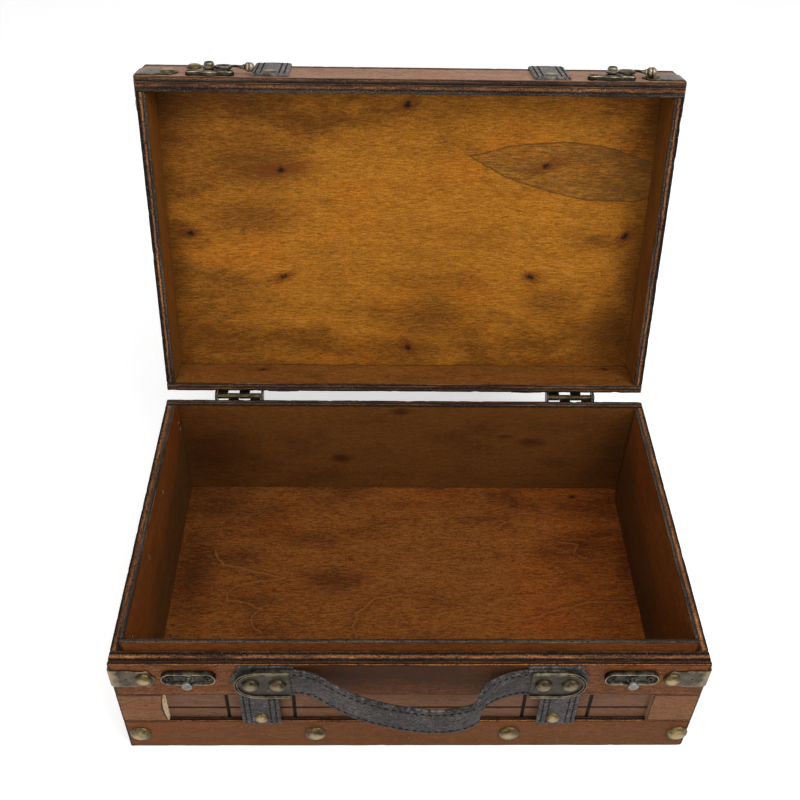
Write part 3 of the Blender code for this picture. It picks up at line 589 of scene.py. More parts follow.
def metal(name, deep, mid, bright):
    """Cast or pressed metal with a dark patina, rubbed bright where wear is high; on the corner brackets the
    wear also holds a painted reflection.
    """
    alloy = Finish(name, 0.38, 0.9, METAL_SPECULAR)
    mottled = alloy.noise(alloy.raw, 210.0, 4.0, 0.6)
    fine = alloy.noise(alloy.raw, 900.0, 3.0, 0.6)
    pale = tuple(low + 0.3 * (high - low) for low, high in zip(mid, bright))
    alloy.ramp(fine * 0.35 + mottled * 0.7, ((0.36, deep), (0.52, mid), (0.74, pale)))
    alloy.cover(bright, 0.9, alloy.worn(mottled, 1.2, -0.6), 0.35, 0.95)
    alloy.bump(mottled + fine * 0.3, 0.00035, 0.55)
    return alloy.done(mottled * 0.30 + 0.24)


def plain(name, colour, roughness, metallic=0.0, contrast=0.3):
    """A small part's finish, slightly mottled."""
    paint = Finish(name, roughness, metallic, LEATHER_SPECULAR)
    low = tuple((1 - contrast) * part for part in colour)
    high = tuple(min((1 + contrast) * part, 1.0) for part in colour)
    paint.ramp(paint.noise(paint.raw, 700.0), ((0.35, low), (0.65, high)))
    return paint.done()


STAIN_DARK = (0.060, 0.020, 0.006)
STAIN_MID = (0.118, 0.042, 0.012)
STAIN = (STAIN_DARK, STAIN_MID, (0.185, 0.072, 0.024))
TOP_STAIN = (STAIN_DARK, (0.125, 0.044, 0.015), (0.20, 0.076, 0.027))
BOTTOM_STAIN = ((0.088, 0.030, 0.009), STAIN_MID, (0.152, 0.058, 0.018))
BLOCK_STAIN = ((0.100, 0.041, 0.017), (0.164, 0.071, 0.031), (0.215, 0.095, 0.043))
PANEL_STAIN = ((0.100, 0.048, 0.026), (0.138, 0.067, 0.037), (0.170, 0.084, 0.047))
# The lid facing's palette is lighter than the other stains: painted sheen, so with the lid shut the facing
# looks lighter than the rail.
FACING_STAIN_AND_PAINTED_SHEEN = ((0.16, 0.078, 0.044), (0.29, 0.156, 0.095), (0.41, 0.235, 0.155))
GOLD = ((0.190, 0.068, 0.007), (0.305, 0.112, 0.010), (0.420, 0.172, 0.020))
LID_WALL_GOLD = ((0.095, 0.033, 0.006), (0.160, 0.058, 0.011), (0.23, 0.087, 0.018))
FLOOR_BROWN = ((0.080, 0.023, 0.004), (0.155, 0.048, 0.008), (0.225, 0.078, 0.015))
BACK_BROWN = ((0.092, 0.033, 0.007), (0.118, 0.042, 0.009), (0.147, 0.055, 0.012))
SIDE_BROWN = ((0.080, 0.024, 0.005), (0.142, 0.042, 0.009), (0.200, 0.065, 0.015))
FRONT_BROWN = ((0.068, 0.020, 0.0045), (0.118, 0.035, 0.008), (0.165, 0.053, 0.013))

LID_KNOTS = (
    (-0.0011, -0.0872, 0.013, 0.006, 2.5), (0.0925, -0.0472, 0.020, 0.0055, 2.72),
    (0.0877, 0.033, 0.009, 0.005, 0.3), (-0.0871, 0.0345, 0.014, 0.005, -0.35),
    (-0.1499, 0.0024, 0.011, 0.004, 0.0), (0.0022, 0.089, 0.010, 0.006, 0.6),
    (-0.0858, -0.0424, 0.026, 0.0065, -0.15), (0.1515, 0.0022, 0.012, 0.006, 2.3))
# Dark spots on the lid panel: smoky stain, and painted shade near its corners and edges
LID_STAIN_AND_SHADE_SPOTS = (
    (-0.053, -0.0747, 0.012, 0.018, 0.5), (-0.100, -0.046, 0.056, 0.026, 0.85),
    (-0.155, -0.090, 0.035, 0.030, 0.7), (-0.104, -0.010, 0.048, 0.020, 0.8),
    (0.150, 0.0750, 0.030, 0.034, 1.0), (0.104, 0.0525, 0.034, 0.016, 0.7),
    (0.168, -0.0830, 0.018, 0.045, 1.0), (0.166, 0.030, 0.020, 0.080, 1.0),
    (-0.116, 0.0525, 0.048, 0.015, 0.3), (0.002, 0.092, 0.045, 0.018, 0.85),
    (0.018, 0.066, 0.052, 0.026, 0.85), (-0.162, 0.026, 0.012, 0.030, 0.6),
    (0.045, 0.004, 0.05, 0.010, 0.3), (0.025, 0.036, 0.055, 0.012, 0.5))
LID_WALL_KNOTS = ((-0.1036, 0.1105, 0.012, 0.0035, 0.0), (0.1475, 0.1145, 0.016, 0.003, 0.0))
# Dark spots on the floor: smoky stain, and painted shade beside the walls
FLOOR_STAIN_AND_SHADE_SPOTS = (
    (-0.068, 0.052, 0.050, 0.012, 0.6), (-0.050, 0.016, 0.034, 0.017, 0.8),
    (-0.117, 0.036, 0.030, 0.012, 0.7), (-0.091, -0.028, 0.028, 0.010, 0.7),
    (0.132, 0.047, 0.034, 0.008, 0.6), (0.028, 0.085, 0.110, 0.008, 0.25),
    (-0.135, 0.085, 0.030, 0.020, 0.7), (-0.148, 0.020, 0.024, 0.050, 0.9),
    (0.160, 0.032, 0.012, 0.030, 0.8), (-0.100, -0.002, 0.035, 0.014, 0.6))
FLOOR_FIGURE = (
    ((-0.136, 0.041), (-0.128, 0.028), (-0.104, 0.021), (-0.084, 0.0166), (-0.108, 0.0125),
     (-0.120, 0.0096), (-0.1235, 0.003), (-0.1215, -0.0024), (-0.108, -0.006), (-0.098, -0.0098),
     (-0.1035, -0.015), (-0.104, -0.020), (-0.097, -0.030)),
    ((-0.033, -0.035), (-0.036, -0.024), (-0.034, -0.013), (-0.021, -0.002), (-0.002, 0.003)),
    ((0.0815, -0.0195), (0.1066, -0.0104), (0.1282, -0.0044), (0.165, -0.0027)),
    ((0.112, 0.050), (0.127, 0.047), (0.1235, 0.040), (0.131, 0.034)))
# Dark spots on the inner back wall: small marks, and painted shade at both ends beside the liners
BACK_STAIN_AND_SHADE_SPOTS = (
    (-0.0038, 0.0830, 0.009, 0.0055, 1.0), (-0.0468, 0.0356, 0.010, 0.006, 1.0),
    (0.0945, 0.0534, 0.014, 0.0065, 1.0), (0.0727, 0.0584, 0.010, 0.003, 0.8),
    (-0.140, 0.040, 0.050, 0.05, 0.8), (0.160, 0.040, 0.03, 0.05, 0.6))
KNOT_LEVEL = 0.1181
FLOOR_LEVEL = 0.0035

WOODS = {
    "top_rail": wood("stained_top_rail", TOP_STAIN, "x", 1.0,
                     smoke=(-0.010, 0.100, 0.078, 0.020, 0.9, (0.046, 0.0165, 0.006))),
    "bottom_rail": wood("stained_bottom_rail", BOTTOM_STAIN, "x", 2.3, 0.25),
    "block": wood("stained_blocks", BLOCK_STAIN, "x", 3.1, 0.25),
    "panel": wood("stained_front_panel", PANEL_STAIN, "x", 4.7, 0.3, extra=groove_shadow),
    "side": wood("stained_sides", STAIN, "y", 5.9),
    "back": wood("stained_back", STAIN, "x", 6.4),
    "lid_facing": wood("stained_lid_facing_painted_sheen", FACING_STAIN_AND_PAINTED_SHEEN, "x", 7.7, 0.3),
    "lid_outer": wood("stained_lid_top", STAIN, "x", 8.2, flames=0.5),
    "lid_gold": wood("golden_lid_panel", GOLD, "x", 9.6, 0.25, stain_and_shade_spots=LID_STAIN_AND_SHADE_SPOTS,
                     corners=(0.014, 0.0, 0.190, 0.126, 0.46, 1.0),
                     lens=((0.120, -0.0430, KNOT_LEVEL), 0.080, 0.0175, 0.13, (0.88, 0.95, 1.20)),
                     knots=LID_KNOTS, level=KNOT_LEVEL),
    "lid_inside": wood("golden_lid_walls", LID_WALL_GOLD, "x", 10.9, 0.35),
    "lid_inside_back": wood("golden_lid_back_wall", LID_WALL_GOLD, "x", 10.9, 0.35, "xz",
                            knots=LID_WALL_KNOTS),
    "lid_inside_side": wood("golden_lid_sides", LID_WALL_GOLD, "y", 11.8, 0.35),
    "floor": wood("brown_floor", FLOOR_BROWN, "x", 12.5, 0.35, stain_and_shade_spots=FLOOR_STAIN_AND_SHADE_SPOTS,
                  corners=(0.010, -0.035, 0.205, 0.165, 0.60, 0.6), figure=FLOOR_FIGURE,
                  knots=((0.129, 0.094, 0.009, 0.003, 0.3),), level=FLOOR_LEVEL, extra=warm_side),
    "inner_back": wood("brown_inner_back", BACK_BROWN, "x", 13.3, 0.4, "xz", BACK_STAIN_AND_SHADE_SPOTS),
    "inner_side": wood("brown_liners", SIDE_BROWN, "y", 14.6, 0.35, extra=low_shade),
    "inner_front": wood("brown_front_liner", FRONT_BROWN, "x", 15.2, 0.35),
}
WALL_PLY = ((0.0, DARK), (0.12, DARK), (0.20, BROWN), (0.30, ORANGE), (0.50, BROWN), (0.60, DARK),
            (0.78, DARK), (0.90, BROWN), (1.0, DARK))
BACK_PLY = ((0.0, DARK), (0.14, DARK), (0.26, BROWN), (0.38, GREY), (0.54, DARK), (0.70, BROWN),
            (0.84, DARK), (1.0, DARK))
LEFT_PLY = ((0.0, DARK), (0.18, DARK), (0.30, BROWN), (0.44, ORANGE), (0.62, BROWN), (0.72, DARK),
            (1.0, DARK))
LID_LEFT_PLY = ((0.0, DARK), (0.34, DARK), (0.44, BROWN), (0.52, ORANGE), (0.60, BROWN), (0.70, DARK),
                (0.80, GREY), (1.0, GREY))
LID_PLY = ((0.0, BROWN), (0.10, DARK), (0.22, BROWN), (0.36, RUST), (0.44, BROWN), (0.56, DARK),
           (0.80, GREY), (1.0, GREY))
FACING_PLY = ((0.0, BROWN), (0.12, ORANGE), (0.24, DARK), (0.50, DARK), (0.64, BROWN), (0.80, DARK),
              (1.0, DARK))
LID_FACING_PLY = ((0.0, BROWN), (0.14, DARK), (0.34, BROWN), (0.52, GREY), (1.0, DARK))
LINER_PLY = ((0.0, (0.13, 0.09, 0.06)), (0.22, GREY), (1.0, DARK))


def mirrored(stops):
    return tuple((1 - place, colour) for place, colour in reversed(stops))


EDGES = {
    "wall": ply_edge("wall_ply_edge", WALL_PLY, 0.0),
    "back": ply_edge("back_ply_edge", BACK_PLY, 1.3),
    "left": ply_edge("left_ply_edge", LEFT_PLY, 2.7),
    "right": ply_edge("right_ply_edge", mirrored(LEFT_PLY), 3.9),
    "lid_left": ply_edge("lid_left_ply_edge", LID_LEFT_PLY, 2.2, 0.9),
    "lid_right": ply_edge("lid_right_ply_edge", mirrored(LID_LEFT_PLY), 8.8, 0.9),
    "lid": ply_edge("lid_ply_edge", LID_PLY, 4.4),
    "facing": ply_edge("facing_edge", FACING_PLY, 5.2, 0.3),
    "lid_facing": ply_edge("lid_facing_edge", LID_FACING_PLY, 6.6, 0.7),
    "liner": ply_edge("liner_edge", LINER_PLY, 7.9, 0.45),
    "raw": plain("raw_block_edge", (0.42, 0.32, 0.19), 0.6),
    "tan": plain("tan_block_edge", (0.25, 0.140, 0.070), 0.6, contrast=0.25),
}
STRAP_LEATHER = leather("strap_leather", (0.016, 0.0135, 0.013), (0.054, 0.046, 0.044), (0.145, 0.127, 0.123))
# A lighter copy of the strap leather for the lid straps: painted sheen.
LID_STRAP_LEATHER_PAINTED_SHEEN = leather("lid_strap_leather_painted_sheen", (0.033, 0.030, 0.029), (0.134, 0.120, 0.115),
                            (0.30, 0.275, 0.265))
HANDLE_LEATHER = leather("handle_leather", (0.011, 0.0095, 0.0085), (0.041, 0.0335, 0.030),
                         (0.130, 0.112, 0.103), 1.3)
BRASS = metal("aged_brass", (0.022, 0.015, 0.008), (0.082, 0.056, 0.024), (0.33, 0.245, 0.115))
LATCH_BRASS = metal("latch_brass", (0.016, 0.013, 0.009), (0.066, 0.052, 0.035), (0.30, 0.245, 0.165))
PEG_METAL = metal("peg_metal", (0.03, 0.026, 0.022), (0.075, 0.067, 0.058), (0.19, 0.18, 0.165))
BUCKLE_METAL = metal("buckle_metal", (0.008, 0.0065, 0.0045), (0.026, 0.0195, 0.0120), (0.185, 0.150, 0.098))
RIVET_METAL = metal("rivet_metal", (0.012, 0.009, 0.006), (0.048, 0.034, 0.020), (0.19, 0.14, 0.078))
BRONZE = metal("dark_bronze", (0.008, 0.007, 0.005), (0.026, 0.021, 0.014), (0.26, 0.22, 0.15))
PLATE_METAL = metal("bracket_metal", (0.021, 0.016, 0.011), (0.060, 0.043, 0.028), (0.25, 0.193, 0.112))
HINGE_METAL = metal("hinge_brass", (0.03, 0.022, 0.012), (0.12, 0.090, 0.045), (0.34, 0.27, 0.15))
# A darker copy of the hinge brass: painted shade on the leaves, in the gap behind the box.
HINGE_LEAF_METAL_PAINTED_SHADE = metal("hinge_leaf_metal_painted_shade", (0.010, 0.008, 0.005), (0.042, 0.031, 0.016), (0.15, 0.12, 0.07))
THREAD = plain("stitch_thread", (0.004, 0.0035, 0.0035), 0.8)
STEEL = plain("staple_steel", (0.55, 0.53, 0.50), 0.35, 0.8)
PIN_STEEL = plain("pin_steel", (0.10, 0.09, 0.085), 0.5, 0.6)
# Near black for holes, slots and hollows: painted shade.
HOLE_PAINTED_SHADE = plain("hole_painted_shade", (0.006, 0.005, 0.004), 0.8)


# Places on the outside, and outlines

def on_front(u, v, height):
    """A point on the front; u along x, v up, height out from the facing."""
    return Vector((u, FRONT - SEAT - height, v))


def on_back(u, v, height):
    return Vector((u, BACK + SEAT + height, v))


def on_side(sign):
    def place(u, v, height):
        return Vector((sign * (SIDE + SEAT + height), u, v))
    return place


def height_of(y):
    """How high a place stands on the front."""
    return FRONT - SEAT - y


def arc(centre, radius, start, stop, count):
    points = []
    for index in range(count + 1):
        angle = math.radians(start + (stop - start) * index / count)
        points.append((centre[0] + radius * math.cos(angle), centre[1] + radius * math.sin(angle)))
    return points


def circle(centre, radius, count):
    return arc(centre, radius, 0, 360, count)[:-1]


# Boards

def worn_board(shape, low, high, run, seed, chips):
    """A board swept along one axis, its long edges eased, uneven and chipped.
    Faces on its thin axis are FIRST (low side) and LAST (high side), and all the others are EDGE."""
    thin = min((high[axis] - low[axis], axis) for axis in range(3))[1]
    wide = 3 - run - thin
    thick = high[thin] - low[thin]
    band = min(EDGE_BAND, thick * 0.36)

    def corner_radius(along, corner):
        turn = corner * 7.3 + seed * 3.1
        size = EDGE_EASE * (1 + 0.55 * wave(along * 90, turn))
        for pitch, offset, bar, depth in ((210, 4.2, 0.28, 2.4), (48, 9.1, 0.38, 1.2)):
            size += max(0.0, wave(along * pitch, turn, offset) - bar) * CHIP * depth * chips
        return min(size, band * 0.9)

    ends = []
    for angle in (0.0, 0.175 * math.pi, 0.35 * math.pi, 0.5 * math.pi):
        ends.append((EDGE_EASE * (1 - math.cos(angle)), EDGE_EASE * (1 - math.sin(angle)), 1.0))
    length = high[run] - low[run] - 2 * EDGE_EASE
    count = max(2, int(length / SECTION_STEP))
    sections = [(low[run] + offset, inset, wear) for offset, inset, wear in ends]
    for index in range(1, count):
        sections.append((low[run] + EDGE_EASE + length * index / count, 0.0, 0.0))
    sections += [(high[run] - offset, inset, wear) for offset, inset, wear in reversed(ends)]

    rows = []
    for along, inset, end_wear in sections:
        row = []
        for index, (at_thin, at_wide) in enumerate(((0, 0), (1, 0), (1, 1), (0, 1))):
            in_thin = 1 - 2 * at_thin
            in_wide = 1 - 2 * at_wide
            u = (low, high)[at_thin][thin] + in_thin * inset
            v = (low, high)[at_wide][wide] + in_wide * inset
            radius = corner_radius(along, index)
            start = 180 + 90 * index
            bend = arc((u + in_thin * radius, v + in_wide * radius), radius, start, start + 90, 3)
            spots = [(u, v + in_wide * EDGE_BAND), *bend, (u + in_thin * band, v)]
            if index % 2:
                spots = [spots[-1], *bend, spots[0]]
            for number, (u, v) in enumerate(spots):
                place = [0.0, 0.0, 0.0]
                place[run] = along
                place[thin] = u
                place[wide] = v
                row.append(shape.point(place, end_wear if number in (0, 5) else 1.0))
        rows.append(row)

    def uv_along(axis):
        return lambda index: (shape.points[index][axis], (shape.points[index][thin] - low[thin]) / thick)

    kinds = []
    for kind, following in ((FIRST, EDGE), (EDGE, LAST), (LAST, EDGE), (EDGE, FIRST)):
        kinds += [kind] * 3 + [following] * 3
    shape.skin(rows, kinds, True, uv_along(run))
    for row in (rows[0], rows[-1]):
        shape.face(row, EDGE, uv_along(wide))


# Each board's run axis, looks of its low side, edge and high side, seed, and how chipped it is
BOARDS = {
    "base_back_wall": (0, "inner_back", "back", "back", 1, 1.0),
    "base_left_wall": (1, "side", "left", "inner_side", 2, 1.3),
    "base_right_wall": (1, "inner_side", "right", "side", 3, 1.3),
    "front_top_rail": (0, "top_rail", "facing", "top_rail", 4, 1.0),
    "front_bottom_rail": (0, "bottom_rail", "facing", "bottom_rail", 5, 0.35),
    "liner_front": (0, "inner_front", "liner", "inner_front", 6, 0.6),
    "liner_left": (1, "inner_side", "liner", "inner_side", 7, 0.6),
    "liner_right": (1, "inner_side", "liner", "inner_side", 8, 0.6),
    "lid_top_panel": (0, "lid_gold", "wall", "lid_outer", 9, 0.8),
    "lid_front_facing": (0, "lid_facing", "lid_facing", "lid_facing", 10, 1.0),
    "lid_front_wall": (0, "lid_facing", "lid", "lid_inside", 11, 1.2),
    "lid_back_wall": (0, "lid_inside_back", "back", "back", 12, 1.2),
    "lid_left_wall": (1, "side", "lid_left", "lid_inside_side", 13, 1.4),
    "lid_right_wall": (1, "lid_inside_side", "lid_right", "side", 14, 1.4),
}
CORNER_RUB = 2.8 * MM
LINER_SLOPE = 9.0 * MM


def rub_corner(shape, box):
    """Rub the bottom rail's lower right corner round."""
    for point in shape.points:
        x = point.x - (box.high.x - CORNER_RUB)
        z = point.z - (box.low.z + CORNER_RUB)
        if x > 0 and z < 0 and math.hypot(x, z) > CORNER_RUB:
            scale = CORNER_RUB / math.hypot(x, z)
            point.x = box.high.x - CORNER_RUB + x * scale
            point.z = box.low.z + CORNER_RUB + z * scale


def slope_end(shape, box):
    """The left liner's back end slopes down to the rim."""
    for point in shape.points:
        stand = (box.high.z - RIM) * min((box.high.y - point.y) / LINER_SLOPE, 1.0)
        point.z = min(point.z, RIM + stand)


def make_boards():
    for node, (run, low_look, edge, high_look, seed, chips) in BOARDS.items():
        box = Box(node)
        shape = Shape()
        worn_board(shape, box.low, box.high, run, seed, chips)
        if node == "front_bottom_rail":
            rub_corner(shape, box)
        if node == "liner_left":
            slope_end(shape, box)
        dress(node, "worn", shape, (WOODS[low_look], EDGES[edge], WOODS[high_look]))
    paint("base_bottom_panel", WOODS["floor"])


GROOVE_LEVEL_SHARE = 0.335
GROOVE_HALF = 1.3 * MM
LEVEL_GROOVE_HALF = 1.15 * MM
GROOVE_DEPTH = 1.2 * MM
GROOVES_FROM_STRAP = (-19.4 * MM, 19.9 * MM)
RIM_BOARD_OVERLAP = 2 * MM


def make_front_wall():
    """A worn rim board over a thinner panel with V grooves."""
    wall = Box("base_front_wall")
    join = RAIL.low.z + RIM_BOARD_OVERLAP
    shape = Shape()
    worn_board(shape, Vector((wall.low.x, wall.low.y, join)), wall.high, 0, 21, 0.8)
    bottom = Box("front_bottom_rail").high.z
    level = bottom + GROOVE_LEVEL_SHARE * (RAIL.low.z - bottom)
    strap = Box("base_strap_right").u
    inner, outer = (strap + offset for offset in GROOVES_FROM_STRAP)
    grooves = (-outer, -inner, inner, outer)
    columns = [wall.low.x]
    for x in grooves:
        columns += [x - GROOVE_HALF, x, x + GROOVE_HALF]
    columns.append(wall.high.x)
    grid = []
    for z in (wall.low.z, level - LEVEL_GROOVE_HALF, level, level + LEVEL_GROOVE_HALF, join):
        depths = [GROOVE_DEPTH if x in grooves or z == level else 0.0 for x in columns]
        grid.append(shape.ring([(x, wall.low.y + depth, z) for x, depth in zip(columns, depths)]))
    shape.skin(grid, FIRST, False)
    lower = shape.ring([(x, wall.high.y, wall.low.z) for x in (wall.low.x, wall.high.x)])
    upper = shape.ring([(x, wall.high.y, join) for x in (wall.low.x, wall.high.x)])
    shape.face(lower + upper[::-1], LAST)
    for side in (0, -1):
        shape.face([row[side] for row in grid] + [upper[side], lower[side]], EDGE)
    shape.face(grid[0] + lower[::-1], EDGE)
    shape.face(grid[-1] + upper[::-1], EDGE)
    finishes = (WOODS["panel"], EDGES["wall"], WOODS["inner_front"])
    dress("base_front_wall", "worn", shape, finishes)


BLOCK_EASE = 0.3 * MM
BLOCK_STEPS = 12


def make_blocks():
    """End blocks of the front framing; the left one has a bowed, sloping inner edge of bare wood."""
    for (word, sign), bow, slope, edge in zip(HANDS, (1.75 * MM, 0.0), (0.35 * MM, 0.1 * MM), ("raw", "tan")):
        node = "front_" + word + "_block"
        box = Box(node)
        shape = Shape()
        rings = []
        for y, reach, inset, wear in ((box.high.y, 0.0, 0.0, 0.0), (box.low.y + BLOCK_EASE, 1.0, 0.0, 0.3),
                                      (box.low.y, 1.0, BLOCK_EASE, 1.0), (box.low.y, 1.0, EDGE_BAND, 0.0)):
            ring = []
            for index in range(BLOCK_STEPS + 1):
                share = index / BLOCK_STEPS
                z = (box.high.z - inset) + (box.low.z - box.high.z + 2 * inset) * share
                drop = bow * 4 * share * (1 - share) * reach + inset + slope * reach
                ring.append((sign * (box.inner + drop), y, z))
            ring.append((sign * (SIDE - inset), y, box.low.z + inset))
            ring.append((sign * (SIDE - inset), y, box.high.z - inset))
            rings.append(shape.ring(ring, wear))
        shape.skin(rings[:2], [LAST] * BLOCK_STEPS + [EDGE] * 3)
        shape.skin(rings[1:], FIRST)
        shape.face(rings[0], FIRST)
        shape.face(rings[-1], FIRST)
        dress(node, "worn", shape, (WOODS["block"], EDGES["facing"], EDGES[edge]))


# Shapes for the hardware

def shrink(outline, inset):
    """Move each side of a closed outline inwards by the same amount."""
    following = outline[1:] + outline[:1]
    area = sum(a[0] * b[1] - b[0] * a[1] for a, b in zip(outline, following))
    turn = 1 if area > 0 else -1
    points = []
    for before, here, after in zip(outline[-1:] + outline[:-1], outline, following):
        arriving = (Vector(here) - Vector(before)).normalized()
        leaving = (Vector(after) - Vector(here)).normalized()
        side = Vector((-arriving.y, arriving.x)) * turn
        mean = (side + Vector((-leaving.y, leaving.x)) * turn).normalized()
        points.append(tuple(Vector(here) + mean * (inset / max(mean.dot(side), 0.3))))
    return points


def raised(level, *rows):
    """Rows of (inset or radius, height, wear), given in millimetres above a level."""
    return [(size * MM, level + height * MM, wear) for size, height, wear in rows]


def loft(shape, outline, steps):
    """Rings of one outline on the front, each drawn in by an inset; steps are (inset, height, wear)."""
    rows = []
    for inset, height, wear in steps:
        ring = shrink(outline, inset) if inset else outline
        rows.append(shape.ring([on_front(u, v, height) for u, v in ring], wear))
    shape.close(rows)


def lathe(shape, centre, profile, space=on_front, count=24, kind=0, wobble=0.0, seed=0.0):
    """Turn (radius, height, wear) about an axis that stands on a surface."""
    rows = []
    for radius, height, wear in profile:
        ring = []
        for u, v in circle((0, 0), radius, count):
            bend = 1 + wobble * wave(u * 300, v * 300, seed)
            rise = wobble * 0.6 * radius * wave(u * 420, v * 420, seed + 5)
            ring.append(space(centre[0] + u * bend, centre[1] + v * bend, height + rise * (height > 0)))
        rows.append(shape.ring(ring, wear))
    shape.close(rows, kind)


def domed_nail(shape, centre, radius, height, space, seed, lift=0.0):
    """An upholstery nail: thin flange, full dome and a rubbed crown."""
    profile = [(radius * 0.94, lift - SEAT * 0.5, 0.0), (radius, lift + 0.04 * height, 0.25)]
    for step in range(9):
        angle = math.radians(90 * step / 8)
        reach = radius * 0.97 * math.cos(angle) if step < 8 else 0.0
        rise = height * (0.14 + 0.86 * math.sin(angle))
        profile.append((reach, lift + rise, 0.15 + 0.75 * math.sin(angle) ** 2))
    lathe(shape, centre, profile, space, 28, 0, 0.035, seed)


def screw(shape, centre, radius, lift, turn):
    """A round-headed screw with a sunk cross."""
    arm = radius * 0.17
    reach = radius * 0.62
    tip = math.degrees(math.atan2(arm, reach))
    angles = []
    for quarter in range(4):
        angles += [90 * quarter + offset for offset in (-tip, 0, tip, 45)]
    edge = []
    for angle in angles:
        swing = math.radians((angle + 45) % 90 - 45)
        limit = reach / math.cos(swing)
        if abs(swing) > math.radians(tip):
            limit = min(limit, arm / abs(math.sin(swing)))
        edge.append(limit)

    def ring(sizes, height, wear):
        places = []
        for angle, size in zip(angles, sizes):
            direction = math.radians(angle + turn)
            u = centre[0] + size * math.cos(direction)
            v = centre[1] + size * math.sin(direction)
            places.append(on_front(u, v, lift + radius * height))
        return shape.ring(places, wear)

    whole = len(angles)
    rows = [ring([radius * size] * whole, height, wear)
            for size, height, wear in ((1.0, -0.2, 0.0), (1.0, 0.25, 0.12), (0.9, 0.38, 0.32))]
    shape.skin(rows)
    shape.face(rows[0])
    # The sunk cross is in the piece's second finish, the painted hole shade.
    cross = [ring(edge, height, 0.2) for height in (0.46, -0.05)]
    shape.skin([rows[-1], cross[0]])
    shape.skin(cross, 1)
    shape.face(cross[1], 1)


def tube(shape, path, half_width, half_height, space, level, closed=False, kind=0, wear=0.5, sides=10):
    """Sweep an ellipse along a flat path; half_width may be a function of the share along the path."""
    rows = []
    count = len(path)
    for index in range(count):
        here = Vector(path[index])
        before = Vector(path[index - 1]) if closed or index else here
        after = Vector(path[(index + 1) % count]) if closed or index + 1 < count else here
        along = (after - before).normalized()
        across = Vector((-along.y, along.x))
        width = half_width(index / (count - 1)) if callable(half_width) else half_width
        ring = []
        for step in range(sides):
            angle = 2 * math.pi * step / sides
            spot = here + across * (width * math.cos(angle))
            place = space(spot.x, spot.y, level + half_height * math.sin(angle))
            ring.append(shape.point(place, wear * max(0.0, math.sin(angle))))
        rows.append(ring)
    if closed:
        shape.skin(rows + rows[:1], kind)
    else:
        shape.close(rows, kind)


# Hardware

NAIL_RADIUS = 5.0 * MM
NAIL_HEIGHT = 2.3 * MM
LID_NAIL_HEIGHT = 1.5 * MM
BRACKET_THICK = 0.8 * MM
BRACKET_BEND = 1.2 * MM
BRACKET_NAIL = 19.0 * MM
BRACKET_HOLE = 9.0 * MM
LOWER_RIGHT_NAIL_MOVED = 1.7 * MM


def make_nails():
    """The bottom rail's big nails, and the nails and holes in the bracket tips."""
    for index in range(4):
        node = "bottom_rail_nail_" + str(index + 1)
        nail = Box(node)
        shape = Shape()
        domed_nail(shape, nail.centre, nail.wide * 0.52, nail.thick * 0.9, on_front, 3.0 + index)
        dress(node, "domed", shape, (BRASS,))
    for word, sign in HANDS:
        for row, tall in (("base", NAIL_HEIGHT), ("lid", LID_NAIL_HEIGHT)):
            level = Box(row + "_corner_bracket_" + word).v
            moved = LOWER_RIGHT_NAIL_MOVED if row == "base" and sign > 0 else 0.0
            shape = Shape()
            front = (sign * (SIDE - BRACKET_NAIL - moved), level)
            flank = (FRONT + BRACKET_NAIL, level)
            domed_nail(shape, front, NAIL_RADIUS, tall, on_front, sign + level * 90, BRACKET_THICK)
            domed_nail(shape, flank, NAIL_RADIUS, tall, on_side(sign), sign + level * 50, BRACKET_THICK)
            make_piece(row + "_bracket_nails_" + word, shape, (BRASS,), row)
            shape = Shape()
            # The holes in the bracket tips are flat discs in painted shade.
            hole = raised(BRACKET_THICK, (0.55, 0, 0), (0.55, 0.06, 0), (0, 0.07, 0))
            lathe(shape, (sign * (SIDE - BRACKET_HOLE), level), hole, on_front, 12)
            lathe(shape, (FRONT + BRACKET_HOLE, level), hole, on_side(sign), 12)
            make_piece(row + "_bracket_holes_" + word, shape, (HOLE_PAINTED_SHADE,), row)


# A bracket leg from the corner to its pointed tip, as shares of its reach and half height, and
# the places of its points along and across
BRACKET_SHARES = ((0, 1), (0.5, 1), (0.54, 0.9), (0.75, 0.9), (0.79, 1), (0.84, 0.99), (0.9, 0.6), (1, 0.04))
BEND_SHARES = (0, 0.33, 0.66, 1)
LEG_SHARES = (0.12, 0.2, 0.3, 0.4, 0.46, 0.5, 0.515, 0.53, 0.54, 0.6, 0.68, 0.75, 0.765, 0.78, 0.79,
              0.82, 0.84, 0.87, 0.9, 0.93, 0.96, 1)
ACROSS_SHARES = (-1, -0.93, -0.82, -0.4, 0, 0.4, 0.82, 0.93, 1)


def between(rows, share):
    """Read a table of (share, value) rows at a share between its rows."""
    for (start, first), (stop, second) in zip(rows, rows[1:]):
        if share <= stop:
            return first + (second - first) * (share - start) / max(stop - start, 1e-9)
    return rows[-1][1]


